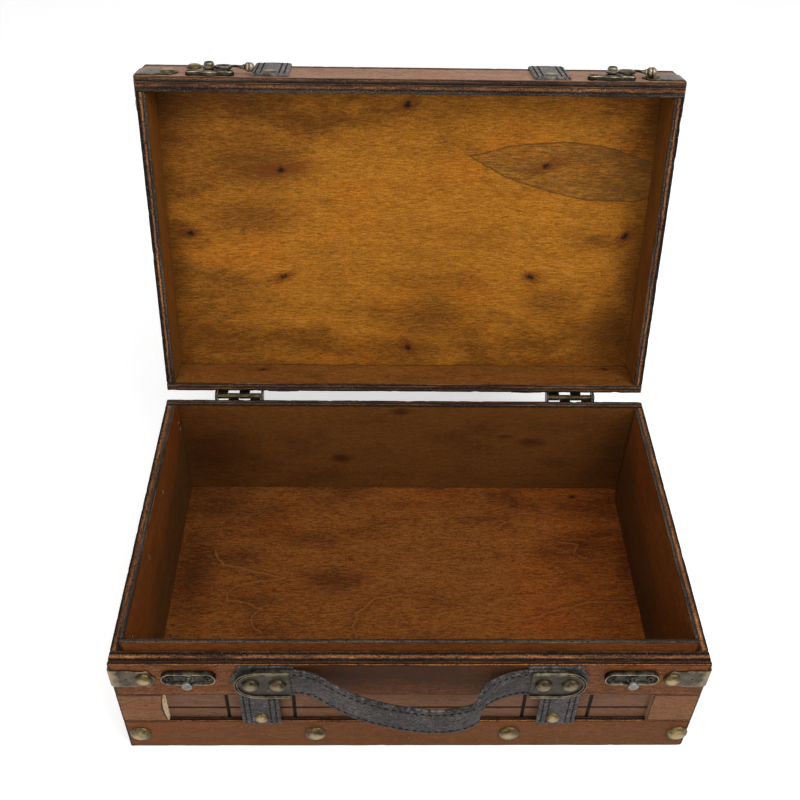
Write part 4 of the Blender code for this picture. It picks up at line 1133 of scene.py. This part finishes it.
def make_bracket(row, word, sign):
    """A corner plate bent round the case, with a waisted, pointed tip on each leg."""
    node = row + "_corner_bracket_" + word
    box = Box(node)
    level = box.v
    reach = box.high.y - FRONT

    def place(u, v, height):
        out = SEAT + height
        if u > BRACKET_BEND:
            return Vector((sign * (SIDE - u), FRONT - out, level + v))
        if u < -BRACKET_BEND:
            return Vector((sign * (SIDE + out), FRONT - u, level + v))
        angle = (BRACKET_BEND - u) / (2 * BRACKET_BEND) * math.pi / 2
        out += BRACKET_BEND
        return Vector((sign * (SIDE - BRACKET_BEND + out * math.sin(angle)),
                       FRONT + BRACKET_BEND - out * math.cos(angle), level + v))

    distances = [BRACKET_BEND * share for share in BEND_SHARES] + [reach * share for share in LEG_SHARES]
    shape = Shape()
    top = []
    under = []
    for u in sorted({sense * round(distance, 7) for distance in distances for sense in (-1, 1)}):
        size = box.tall / 2 * between(BRACKET_SHARES, abs(u) / reach)
        near_tip = abs(u) > reach * 0.96
        top.append([])
        under.append([])
        for share in ACROSS_SHARES:
            v = share * size + 0.12 * MM * wave(u * 400, share * 2, level * 70)
            drop = 0.25 * MM if abs(share) == 1 or near_tip else 0.0
            # Rubbed edges and tip, and a pale band fading from the corner along each leg that is a painted
            # reflection.
            wear = max(0.6 if abs(share) > 0.9 or near_tip else 0.05, 0.85 * (1 - abs(u) / (reach * 0.42)))
            top[-1].append(shape.point(place(u, v, BRACKET_THICK - drop), wear))
            under[-1].append(shape.point(place(u, v, 0.0), 0.0))
    shape.skin(top, 0, False)
    shape.skin(under, 0, False)
    for side in (0, -1):
        shape.skin([[points[side] for points in top], [points[side] for points in under]], 0, False)
        shape.skin([top[side], under[side]], 0, False)
    dress(node, "bent", shape, (PLATE_METAL,), 50)


CATCH_SCREW_OUT = 10.6 * MM
CATCH_SCREW_RADIUS = 2.2 * MM
LATCH_SCREW_IN = 3.4 * MM
LATCH_SCREW_RADIUS = 1.8 * MM


def make_catch(word):
    """A thick stadium plate with a thin raised rim, a sunk field and two screws, and its turned peg."""
    plate = Box("catch_plate_" + word)
    radius = plate.tall / 2
    reach = plate.wide / 2 - radius
    outline = arc((plate.u + reach, plate.v), radius, -90, 90, 14)
    outline += arc((plate.u - reach, plate.v), radius, 90, 270, 14)
    field = plate.thick - 1.3 * MM
    shape = Shape()
    steps = [(0.1 * MM, 0, 0), (0, plate.thick * 0.25, 0)]
    steps += raised(plate.thick, (0, -0.35, 0), (0.16, -0.08, 0.7), (0.40, 0, 0.95), (0.72, -0.12, 0.6),
                    (1.0, -1.05, 0), (1.3, -1.3, 0), (3.2, -1.3, 0.05))
    loft(shape, outline, steps)
    collar = raised(field, (3.6, 0.3, 0.3), (3.2, 0.75, 0.5), (2.4, 0.8, 0.1), (0, 0.8, 0))
    lathe(shape, plate.centre, [(3.6 * MM, 0, 0)] + collar)
    for step in (-1, 1):
        spot = (plate.u + step * CATCH_SCREW_OUT, plate.v)
        screw(shape, spot, CATCH_SCREW_RADIUS, field - 0.1 * MM, 25 * step)
    dress("catch_plate_" + word, "cast", shape, (BRONZE, HOLE_PAINTED_SHADE))

    peg = Box("catch_peg_" + word)
    head = peg.wide / 2
    top = peg.thick
    drum = top - 1.7 * MM
    neck = head * 0.55
    shape = Shape()
    profile = ((neck * 1.5, field, 0.1), (neck * 1.1, field + 0.9 * MM, 0.2),
               (neck, field + 1.6 * MM, 0.3), (neck, drum - 0.3 * MM, 0.2),
               (head * 0.8, drum - 0.1 * MM, 0.2), (head, drum + 0.15 * MM, 0.6),
               (head, top - 0.35 * MM, 0.6), (head * 0.95, top - 0.08 * MM, 1.0),
               (head * 0.8, top, 0.8), (0, top, 0.6))
    lathe(shape, plate.centre, profile, on_front, 26, 0, 0.025, 2.0)
    dress("catch_peg_" + word, "turned", shape, (PEG_METAL,))


def make_handle_plate(word, sign):
    """A D-shaped plate with two raised ribs, a sunk ring round each rivet, and its rivets."""
    node = "handle_plate_" + word
    plate = Box(node)
    radius = plate.tall / 2
    face = height_of(plate.low.y)
    field = face - 0.9 * MM
    bend = plate.outer - radius

    def path(size, start=0.0):
        run = bend - plate.inner - start
        points = [(bend - run * (5 - step) / 5, size) for step in range(5)]
        points += arc((bend, 0), size, 90, -90, 16)
        points += [(bend - run * step / 5, -size) for step in range(1, 6)]
        return [(sign * u, plate.v + v) for u, v in points]

    shape = Shape()
    loft(shape, path(radius), [(0, height_of(plate.high.y), 0)] +
         raised(field, (0, -0.1, 0), (0.25, 0, 0), (2.2, 0, 0)))
    for inset, tall, wear in ((0.45 * MM, 0.95 * MM, 0.85), (1.85 * MM, 0.8 * MM, 0.8)):
        tube(shape, path(radius - inset, 0.2 * MM), 0.45 * MM, tall, on_front, face - tall, wear=wear)
    rivets = ["handle_rivet_" + word + "_" + end for end in ("inner", "outer")]
    for rivet in rivets:
        ring = raised(field, (5.7, -0.2, 0), (5.7, 0.08, 0), (5.4, 0.2, 0.3), (5.1, 0.08, 0), (0, 0.05, 0))
        lathe(shape, Box(rivet).centre, ring, on_front, 28)
    dress(node, "ribbed", shape, (BUCKLE_METAL,))
    for index, node in enumerate(rivets):
        rivet = Box(node)
        shape = Shape()
        domed_nail(shape, rivet.centre, rivet.wide * 0.49, rivet.thick, on_front, sign + index, field)
        dress(node, "domed", shape, (RIVET_METAL,))


def latch_outline(plate):
    """A plate with round ends, a waist on each side of its middle and a round hump there."""
    half = plate.wide / 2
    tall = plate.tall / 2
    waist = tall * 0.62
    right = arc((half - tall * 0.78, 0), tall * 0.78, -75, 75, 8)
    upper = [(half * 0.66, waist * 0.94), (half * 0.55, waist * 0.86), (half * 0.42, waist)]
    upper += arc((0, 0), tall, 65, 90, 3)
    upper += [(-u, v) for u, v in reversed(upper[:-1])]
    outline = right + upper + [(-u, v) for u, v in reversed(right)] + [(u, -v) for u, v in reversed(upper)]
    return [(plate.u + u, plate.v + v) for u, v in outline]


# The oval mound's half sizes, and its rings of (share of the size, height in millimetres, wear)
MOUND_LENGTH = 9.0 * MM
MOUND_WIDTH = 4.1 * MM
MOUND_RINGS = ((1.0, -0.6, 0.1), (0.94, -0.3, 1.0), (0.80, 0.0, 0.2), (0.62, 0.3, 0.9), (0.5, 0.6, 0.4))


def make_latch(word, sign):
    """A waisted plate with two screws and an oval mound, the lever's hollow post, and the lever."""
    plate = Box("latch_plate_" + word)
    thick = plate.thick
    field = thick - 0.5 * MM
    shape = Shape()
    steps = [(0.1 * MM, 0, 0), (0, thick * 0.2, 0)]
    steps += raised(thick, (0, -0.75, 0), (0.1, -0.55, 0.7), (0.3, -0.1, 1.0), (0.5, 0, 0.95),
                    (0.75, -0.1, 0.4), (0.95, -0.5, 0), (1.9, -0.5, 0))
    loft(shape, latch_outline(plate), steps)
    for step in (-1, 1):
        spot = (plate.u + step * (plate.wide / 2 - LATCH_SCREW_IN), plate.v)
        screw(shape, spot, LATCH_SCREW_RADIUS, field, 15 + 30 * step)
    mound = []
    for share, rise, wear in MOUND_RINGS:
        length = MOUND_LENGTH * share
        width = MOUND_WIDTH * (0.60 + 0.40 * share)
        ring = [(plate.u + u * length, plate.v + v * width) for u, v in circle((0, 0), 1.0, 28)]
        mound.append(shape.ring([on_front(u, v, thick + rise * MM) for u, v in ring], wear))
    shape.close(mound)
    dress("latch_plate_" + word, "cast", shape, (BRONZE, HOLE_PAINTED_SHADE))

    post = Box("latch_post_" + word)
    top = height_of(post.low.y)
    profile = raised(height_of(post.high.y), (3.1, -0.5, 0), (3.1, 0.3, 0.6), (2.6, 0.6, 0.2), (1.8, 0.7, 0))
    profile += raised(top, (1.8, -2.0, 0), (2.5, -1.9, 0.2), (3.2, -1.75, 0.8), (3.2, -1.3, 0.5),
                      (2.8, -0.55, 0.8), (2.7, -0.3, 0.1), (2.6, -0.15, 0), (2.2, -0.15, 0), (2.1, -0.7, 0),
                      (0, -0.7, 0))
    shape = Shape()
    lathe(shape, plate.centre, profile, on_front, 28, 0, 0.02, sign)
    # The post's hollow is lined with painted hole shade.
    hollow = raised(top, (2.15, -0.75, 0), (2.15, -0.45, 0), (0, -0.45, 0))
    lathe(shape, plate.centre, hollow, on_front, 20, 1)
    dress("latch_post_" + word, "turned", shape, (LATCH_BRASS, HOLE_PAINTED_SHADE))
    make_lever(word, plate.centre)


# The lever's eye and its acorn knob, measured along the lever from the pivot
LEVER_HALF = 0.95 * MM
LEVER_EYE = 8.9 * MM
LEVER_EYE_LENGTH = 4.85 * MM
LEVER_EYE_WIDTH = 3.35 * MM
PEG_CLEARANCE = 2.95 * MM
KNOB_START = 18.3 * MM
KNOB_LENGTH = 9.5 * MM
KNOB_RISE = 0.8 * MM
KNOB_SIDES = 22
KNOB_SHARES = ((0, 0.36, 0.1), (0.2, 0.40, 0.2), (0.27, 0.62, 0.9), (0.31, 0.64, 0.6), (0.34, 0.5, 0.1),
               (0.42, 0.78, 0.3), (0.50, 0.96, 0.7), (0.58, 1.0, 0.9), (0.63, 0.97, 0.3), (0.66, 0.9, 0.0),
               (0.70, 0.97, 0.6), (0.80, 0.98, 0.9), (0.90, 0.78, 0.8), (0.96, 0.48, 0.9), (1.0, 0.0, 0.9))


def make_lever(word, centre):
    """Boss ring on the post, an open oval eye, a neck bent round the peg, and an acorn knob."""
    lever = Box("latch_lever_" + word)
    level = height_of((lever.low.y + lever.high.y) / 2)
    peg = Box("catch_peg_" + word)
    distance = math.hypot(peg.u - centre[0], peg.v - centre[1])

    def place(u, v, height):
        return on_front(centre[0] + u, centre[1] + v, height)

    def beside_peg(u, v):
        # The eye's far end is dented, so that it clears the peg's neck when the latch is shut
        grow = max(1.0, PEG_CLEARANCE / math.hypot(u - distance, v))
        return distance + (u - distance) * grow, v * grow

    shape = Shape()
    tube(shape, circle((0, 0), 3.1 * MM, 28), 1.0 * MM, LEVER_HALF, place, level, True, 1, 0.9)
    eye = [beside_peg(LEVER_EYE + u * LEVER_EYE_LENGTH, v * LEVER_EYE_WIDTH)
           for u, v in circle((0, 0), 1.0, 32)]
    tube(shape, eye, 1.05 * MM, LEVER_HALF * 1.15, place, level, True, 0, 0.7)
    path = [(LEVER_EYE + 3.5 * MM, 2.0 * MM), *arc((distance, 0), 3.15 * MM, 150, 20, 10),
            (KNOB_START + 1.0 * MM, KNOB_RISE)]
    tube(shape, path, lambda share: (1.15 - 0.3 * math.sin(math.pi * share)) * MM, LEVER_HALF * 0.85, place,
         level)
    rows = []
    for along, size, wear in KNOB_SHARES:
        u = KNOB_START + KNOB_LENGTH * along
        knob = circle((0, 0), lever.thick / 2 * 1.12 * size, KNOB_SIDES)
        rows.append(shape.ring([place(u, KNOB_RISE + v, level + height) for v, height in knob], wear))
    shape.close(rows, 1)
    dress("latch_lever_" + word, "cast", shape, (BRONZE, LATCH_BRASS))


STRAP_NAIL_RADIUS = 4.3 * MM
STRAP_NAIL_HEIGHT = 2.2 * MM
STRAP_NAIL_IN = 7.0 * MM
LID_STRAP_NAIL_HEIGHT = 1.0 * MM
LID_STRAP_NAIL_IN = 5.5 * MM
STRAP_NAIL_MOVED = {"left": 0.3 * MM, "right": -2.1 * MM}
HINGE_NAIL_RADIUS = 1.6 * MM
HINGE_NAIL_HEIGHT = 0.8 * MM
HINGE_NAIL_OUT = 10.3 * MM
HINGE_LEAF_FACE = 1.1 * MM
SPARE_NAIL_X = -137 * MM
SPARE_NAIL_UP = 27 * MM
# In millimetres: each pin's x and z, and each staple's y, z and length
PIN_HEADS = ((-166.0, 50.2), (-166.0, 33.7), (-84.0, 12.9), (0.6, 9.1), (91.5, 8.9), (166.0, 49.0),
             (166.0, 34.0))
STAPLES = ((98.0, 70.0, 3.4), (96.0, 78.0, 1.6), (28.0, 80.0, 3.4), (-26.5, 79.5, 3.6), (-85.0, 78.5, 4.2))


def make_strap_nails(word, sign):
    front = Box("base_strap_" + word)
    back = Box("base_back_strap_" + word)
    lid_low = Box("lid_strap_" + word).low.z
    moved = STRAP_NAIL_MOVED[word]
    tall = STRAP_NAIL_HEIGHT
    groups = (
        ("base_strap_nail_", "base", ((on_front, moved, front.low.z + STRAP_NAIL_IN, tall, 7),)),
        ("base_back_strap_nails_", "base", ((on_back, 0.0, back.low.z + STRAP_NAIL_IN, tall, 11),
                                            (on_back, 0.0, back.high.z - STRAP_NAIL_IN, tall, 12))),
        ("lid_strap_nails_", "lid", ((on_front, 0.0, lid_low + LID_STRAP_NAIL_IN, LID_STRAP_NAIL_HEIGHT, 15),
                                     (on_back, 0.0, lid_low + STRAP_NAIL_IN, tall, 16))),
    )
    for name, body, nails in groups:
        shape = Shape()
        for space, aside, level, height, seed in nails:
            spot = (front.u + aside, level)
            domed_nail(shape, spot, STRAP_NAIL_RADIUS, height, space, seed + sign, front.thick)
        make_piece(name + word, shape, (BRASS,), body)


def make_hinge_nails(word):
    for row, body, step in (("lower", "base", -1), ("upper", "lid", 1)):
        leaf = Box("hinge_" + row + "_leaf_" + word)
        shape = Shape()
        for share in (0.2, 0.5, 0.8):
            spot = (leaf.low.x + leaf.wide * share, RIM + step * HINGE_NAIL_OUT)
            domed_nail(shape, spot, HINGE_NAIL_RADIUS, HINGE_NAIL_HEIGHT, on_back, share * 9, HINGE_LEAF_FACE)
        make_piece("hinge_" + row + "_nails_" + word, shape, (HINGE_METAL,), body)


def make_single_fasteners():
    """A spare nail on the lid, headless pins in the front framing, and staples in the left liner."""
    shape = Shape()
    domed_nail(shape, (SPARE_NAIL_X, RIM + SPARE_NAIL_UP), NAIL_RADIUS, NAIL_HEIGHT, on_front, 31)
    make_piece("lid_spare_nail", shape, (BRASS,), "lid")
    shape = Shape()
    for x, z in PIN_HEADS:
        lathe(shape, (x * MM, z * MM), raised(-SEAT, (0.6, 0, 0), (0.6, 0.08, 0), (0, 0.12, 0)), on_front, 10)
    make_piece("front_pin_heads", shape, (PIN_STEEL,), "base")
    shape = Shape()
    inner = Box("liner_left").high.x

    def on_liner(u, v, height):
        return Vector((inner + height, u, v))

    for y, z, tall in STAPLES:
        path = [(y * MM, (z + tall * (share - 0.5)) * MM) for share in (0, 0.25, 0.5, 0.75, 1)]
        tube(shape, path, 0.40 * MM, 0.30 * MM, on_liner, 0.12 * MM, sides=8)
    make_piece("liner_staples", shape, (STEEL,), "base")


def finish_hinges():
    """The hinges stay as they are in the solids: the pins in old brass, and the leaves in a darker copy of
    it, painted shade.
    """
    for word, _ in HANDS:
        paint("hinge_lower_leaf_" + word, HINGE_LEAF_METAL_PAINTED_SHADE)
        paint("hinge_upper_leaf_" + word, HINGE_LEAF_METAL_PAINTED_SHADE)
        paint("hinge_pin_" + word, HINGE_METAL)


# Leather

STITCH_SHARES = ((-1.0, 0.0), (-0.78, 0.75), (0.0, 1.0), (0.78, 0.75), (1.0, 0.0))
STITCH_HALF = 0.62 * MM
HANDLE_STITCH_HALF = 0.66 * MM


class Ribbon:
    """Leather swept along a line. profile is (share of half width, height, wear) across its face,
    and under is the height of its flat back."""

    def __init__(self, shape, points, outward, width_axis, width, profile, under, seed, wrinkle):
        self.shape = shape
        self.points = points
        self.outward = outward
        self.width_axis = width_axis
        self.half = width / 2
        self.profile = profile
        self.distances = [0.0]
        for before, after in zip(points, points[1:]):
            self.distances.append(self.distances[-1] + (after - before).length)
        self.length = self.distances[-1]
        rows = []
        whole = [(-share, height, wear) for share, height, wear in reversed(profile[1:])] + list(profile)
        for along in self.distances:
            row = []
            for share, height, wear in whole:
                across = self.half * share * (1 + 0.012 * wave(along * 130, share * 3, seed))
                lift = height + wrinkle * wave(along * 160, share * 2.5, seed + 3)
                row.append(shape.point(self.place(along, across, lift), wear))
            for share in (0.94, 0.0, -0.94):
                row.append(shape.point(self.place(along, self.half * share, under), 0.2))
            rows.append(row)
        shape.close(rows)

    def place(self, along, across, height):
        along = min(max(along, 0.0), self.length)
        index = 0
        while index < len(self.distances) - 2 and self.distances[index + 1] < along:
            index += 1
        start, stop = self.distances[index:index + 2]
        share = (along - start) / max(stop - start, 1e-9)
        base = self.points[index].lerp(self.points[index + 1], share)
        normal = self.outward[index].lerp(self.outward[index + 1], share).normalized()
        return base + self.width_axis * across + normal * height

    def stitch(self, along, across, half_length, half_width, lift):
        """A low, tapered bead of thread."""
        rows = []
        for share, size in STITCH_SHARES:
            spot = along + share * half_length
            level = lift if size else lift - half_width * 0.6
            rows.append(self.shape.ring([self.place(spot, across + side, level + rise * 0.8)
                                         for side, rise in circle((0, 0), half_width * size, 6)]))
        self.shape.skin(rows, 1)

    def stitch_rows(self, shares, start, stop, step, half_width=STITCH_HALF):
        heights = [row[:2] for row in self.profile]
        for share in shares:
            across = share * self.half
            lift = between(heights, abs(share)) + 0.02 * MM
            for index in range(int((stop - start) / step)):
                along = start + (index + 0.5) * step
                jitter = 0.15 * MM * wave(along * 900, across * 900)
                self.stitch(along, across + jitter, step * 0.30, half_width, lift)


def strap_profile(thick):
    """Raised middle and stitched margins, as (share of half width, height, wear)."""
    shares = ((0.0, 1.08, 0.0), (0.30, 1.06, 0.0), (0.44, 1.0, 0.15), (0.50, 0.92, 0.0), (0.60, 0.96, 0.1),
              (0.72, 0.94, 0.1), (0.78, 0.88, 0.0), (0.86, 0.92, 0.2), (0.94, 0.85, 0.8), (0.985, 0.6, 1.0),
              (1.0, 0.3, 0.8))
    return [(share, thick * height, wear) for share, height, wear in shares] + [(0.985, 0.05 * MM, 0.3)]


STRAP_STITCH = 2.6 * MM
STRAP_ROW_SHARES = (-0.78, -0.50, 0.50, 0.78)
STRAP_MARGIN = 1.2 * MM
STRAP_WRINKLE = 0.05 * MM


def make_strap(node, flat, points, outward, seed, finish, end_margin):
    """A stitched strap along a line, as wide and thick as the flat strap on the front."""
    shape = Shape()
    profile = strap_profile(flat.thick)
    side = Vector((1, 0, 0))
    ribbon = Ribbon(shape, points, outward, side, flat.wide, profile, 0.0, seed, STRAP_WRINKLE)
    ribbon.stitch_rows(STRAP_ROW_SHARES, STRAP_MARGIN, ribbon.length - end_margin, STRAP_STITCH)
    dress(node, "stitched", shape, (finish, THREAD), 30)


def make_base_straps(word):
    flat = Box("base_strap_" + word)
    for node, y, sense in (("base_strap_", FRONT - SEAT, -1), ("base_back_strap_", BACK + SEAT, 1)):
        strap = Box(node + word)
        points = [Vector((flat.u, y, strap.low.z + strap.tall * index / 18)) for index in range(19)]
        outward = [Vector((0, sense, 0))] * len(points)
        make_strap(node + word, flat, points, outward, sense, STRAP_LEATHER, 0.5 * MM)


def make_lid_strap(word):
    """Up the front, over the top and down the back, with a tight bend at each corner."""
    flat = Box("base_strap_" + word)
    bottom = Box("lid_strap_" + word).low.z
    front = Vector((0, -1, 0))
    up = Vector((0, 0, 1))
    back = Vector((0, 1, 0))
    ease = 0.2 * MM
    points = []
    outward = []

    def straight(start, stop, normal, count):
        for index in range(count + 1):
            points.append(Vector((flat.u, *start)).lerp(Vector((flat.u, *stop)), index / count))
            outward.append(normal)

    def bend(y, arriving, leaving):
        for turn in (22, 45, 68):
            angle = math.radians(turn)
            normal = arriving * math.cos(angle) + leaving * math.sin(angle)
            points.append(Vector((flat.u, y, LID_TOP)) + normal * SEAT)
            outward.append(normal)

    straight((FRONT - SEAT, bottom), (FRONT - SEAT, LID_TOP - ease), front, 16)
    bend(FRONT, front, up)
    straight((FRONT + ease, LID_TOP + SEAT), (BACK - ease, LID_TOP + SEAT), up, 70)
    bend(BACK, up, back)
    straight((BACK + SEAT, LID_TOP - ease), (BACK + SEAT, bottom), back, 16)
    make_strap("lid_strap_" + word, flat, points, outward, 5.0, LID_STRAP_LEATHER_PAINTED_SHEEN, STRAP_MARGIN)


PATCH_RIM_GAP = 0.35 * MM
PATCH_OVERLAP = 2.0 * MM
PATCH_STEPS = 22


def make_patch(word, sign):
    """Leather behind a handle plate, with a wavy top edge that reaches up to the rim."""
    patch = Box("handle_patch_" + word)
    radius = patch.tall * 0.4
    start = patch.inner - PATCH_OVERLAP
    outline = [(start, patch.low.z)]
    for index in range(PATCH_STEPS + 1):
        u = start + (patch.outer - radius * 0.4 - start) * index / PATCH_STEPS
        dip = 1.5 * MM * abs(wave(u * 260, sign * 4.0)) + 0.5 * MM * (index in (0, PATCH_STEPS))
        outline.append((u, RIM - PATCH_RIM_GAP - dip))
    outline += arc((patch.outer - radius, patch.v - 0.6 * MM), radius, 60, -80, 12)
    shape = Shape()
    thick = patch.thick
    loft(shape, [(sign * u, v) for u, v in outline],
         ((0, 0, 0), (0, thick * 0.55, 0.9), (0.25 * MM, thick * 0.9, 0.9), (0.7 * MM, thick, 0.1),
          (1.6 * MM, thick, 0.0)))
    dress("handle_patch_" + word, "wavy", shape, (STRAP_LEATHER,), 30)


HANDLE_PATH_SHARES = (
    (-1.00, 0.00), (-0.90, 0.02), (-0.80, 0.10), (-0.69, 0.28), (-0.53, 0.53), (-0.37, 0.71),
    (-0.18, 0.86), (0.03, 0.96), (0.20, 1.00), (0.36, 0.96), (0.48, 0.87), (0.55, 0.73),
    (0.56, 0.58), (0.585, 0.44), (0.65, 0.28), (0.73, 0.16), (0.82, 0.07), (0.91, 0.02), (1.00, 0.00),
)
HANDLE_PROFILE_SHARES = ((0.0, 1.0, 0.0), (0.35, 0.98, 0.0), (0.66, 0.92, 0.0), (0.74, 0.70, 0.0),
                         (0.82, 0.9, 0.15), (0.92, 0.82, 0.5), (0.98, 0.4, 1.0), (1.0, -0.1, 0.9),
                         (0.985, -0.6, 0.5))
HANDLE_HALF = 1.25 * MM
HANDLE_END_THICK = 2.0 * MM
HANDLE_BULGE = 24.0 * MM
HANDLE_SAG = 1.7 * MM
HANDLE_STITCH = 4.0 * MM
HANDLE_STEPS = 150
HANDLE_WRINKLE = 0.16 * MM


def handle_line(reach, rest_out, clamped):
    """The handle from above: points (x, distance out) along a smooth curve."""
    points = [Vector((along * reach, rest_out + out * HANDLE_BULGE)) for along, out in HANDLE_PATH_SHARES]
    lead = Vector((clamped, 0))
    points = [points[0] - lead, *points, points[-1] + lead]
    curve = []
    spans = len(points) - 1
    for index in range(HANDLE_STEPS + 1):
        place = spans * index / HANDLE_STEPS
        start = min(int(place), spans - 1)
        t = place - start
        p0 = points[max(start - 1, 0)]
        p1 = points[start]
        p2 = points[start + 1]
        p3 = points[min(start + 2, spans)]
        smooth = 2 * p1 + (p2 - p0) * t + (2 * p0 - 5 * p1 + 4 * p2 - p3) * t ** 2
        curve.append((smooth + (3 * p1 - p0 - 3 * p2 + p3) * t ** 3) / 2)
    return curve


def make_handle():
    """One piece of leather for the free grip and its clamped ends."""
    grip = Box("handle_grip")
    end = Box("handle_end_right")
    reach = Box("handle_plate_right").low.x
    clamped = end.high.x - reach
    rest_out = FRONT - end.high.y + HANDLE_END_THICK / 2
    curve = handle_line(reach, rest_out, clamped)
    points = []
    outward = []
    for before, spot, after in zip(curve[:1] + curve, curve, curve[1:] + curve[-1:]):
        along = (after - before).normalized()
        sag = HANDLE_SAG * (spot.y - rest_out) / HANDLE_BULGE
        points.append(Vector((spot.x, FRONT - spot.y, grip.v - sag)))
        outward.append(Vector((-along.y, -along.x, 0)))
    profile = [(share, HANDLE_HALF * height, wear) for share, height, wear in HANDLE_PROFILE_SHARES]
    shape = Shape()
    up = Vector((0, 0, 1))
    ribbon = Ribbon(shape, points, outward, up, grip.tall, profile, -HANDLE_HALF, 2.0, HANDLE_WRINKLE)
    free = clamped + 0.5 * MM
    ribbon.stitch_rows((-0.74, 0.74), free, ribbon.length - free, HANDLE_STITCH, HANDLE_STITCH_HALF)
    finishes = (HANDLE_LEATHER, THREAD)
    item = make_piece("handle_ribbon", shape, finishes, "handle", (), 30, ride=False)
    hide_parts("handle_grip", "handle_end_left", "handle_end_right")
    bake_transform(item)


make_boards()
make_front_wall()
make_blocks()
make_nails()
for row in ("base", "lid"):
    for word, sign in HANDS:
        make_bracket(row, word, sign)
for word, _ in HANDS:
    make_catch(word)
for word, sign in HANDS:
    make_handle_plate(word, sign)
for word, sign in HANDS:
    make_latch(word, sign)
for word, sign in HANDS:
    make_strap_nails(word, sign)
    make_hinge_nails(word)
make_single_fasteners()
finish_hinges()
for word, _ in HANDS:
    make_base_straps(word)
    make_lid_strap(word)
for word, sign in HANDS:
    make_patch(word, sign)
make_handle()


# Stage, camera and light

FLOOR_HALF = 6.0
FLOOR_DROP = 0.1 * MM
FLOOR_GLOW = 0.42
AMBIENT = 0.45


def make_stage():
    """A pale floor just below the box, that glows a little for the camera only."""
    corners = [(x * FLOOR_HALF, y * FLOOR_HALF, -FLOOR_DROP) for x, y in ((-1, -1), (1, -1), (1, 1), (-1, 1))]
    mesh = bpy.data.meshes.new("pale_floor")
    mesh.from_pydata(corners, [], [(0, 1, 2, 3)])
    finish = Finish("pale_floor", 0.9)
    finish.fill(finish.shader, {"Base Color": (0.80, 0.80, 0.80, 1.0)})
    glow = finish.add("Emission", {"Color": (1, 1, 1, 1), "Strength": finish.seen() * FLOOR_GLOW})
    both = finish.add("AddShader", {0: Value(finish, finish.shader.outputs[0]), 1: glow})
    finish.fill(finish.nodes["Material Output"], {"Surface": both})
    mesh.materials.append(finish.material)
    floor = put("pale_floor", mesh)


def make_world():
    """White to the camera, and dimmer as light on the box."""
    world = bpy.data.worlds.new("studio")
    bpy.context.scene.world = world
    world.use_nodes = True
    sky = Nodes(world.node_tree)
    strength = sky.add("MapRange", {"Value": sky.seen(), "To Min": AMBIENT, "To Max": 1.0})
    sky.fill(sky.nodes["Background"], {"Color": (1, 1, 1, 1), "Strength": strength})


# Each lamp's name, place, target, size and power
LAMPS = (("key", (0.75, -0.60, 1.15), (0, 0, 0.1), 0.9, 11.0),
         ("top", (-0.1, -0.25, 1.5), (0, 0.05, 0.1), 1.1, 8.0),
         ("front_fill", (-0.5, -1.3, 0.60), (0, 0, 0.1), 0.9, 6.0))


def make_lights():
    for name, place, target, size, power in LAMPS:
        lamp = bpy.data.lights.new(name, "AREA")
        lamp.shape = "DISK"
        lamp.size = size
        lamp.energy = power
        item = put(name, lamp)
        item.location = place
        item.rotation_mode = "QUATERNION"
        item.rotation_quaternion = (Vector(target) - Vector(place)).to_track_quat("-Z", "Y")


# The photograph's camera, fitted to the corners of the box
CAMERA_PLACE = (-0.0194, -0.4349, 0.5885)
CAMERA_PITCH = math.radians(42.53)
CAMERA_YAW = math.radians(1.64)
CAMERA_ROLL = math.radians(1.43)
CAMERA_LENS = 46.44


def make_camera():
    camera = bpy.data.cameras.new("camera")
    camera.lens = CAMERA_LENS
    camera.sensor_width = 36.0
    item = put("camera", camera)
    aim = Matrix.Rotation(-CAMERA_YAW, 4, "Z") @ Matrix.Rotation(math.pi / 2 - CAMERA_PITCH, 4, "X")
    item.matrix_world = Matrix.Translation(CAMERA_PLACE) @ aim @ Matrix.Rotation(CAMERA_ROLL, 4, "Z")
    bpy.context.scene.camera = item


make_stage()
make_world()
make_lights()
make_camera()
bpy.context.scene.view_settings.view_transform = "Standard"
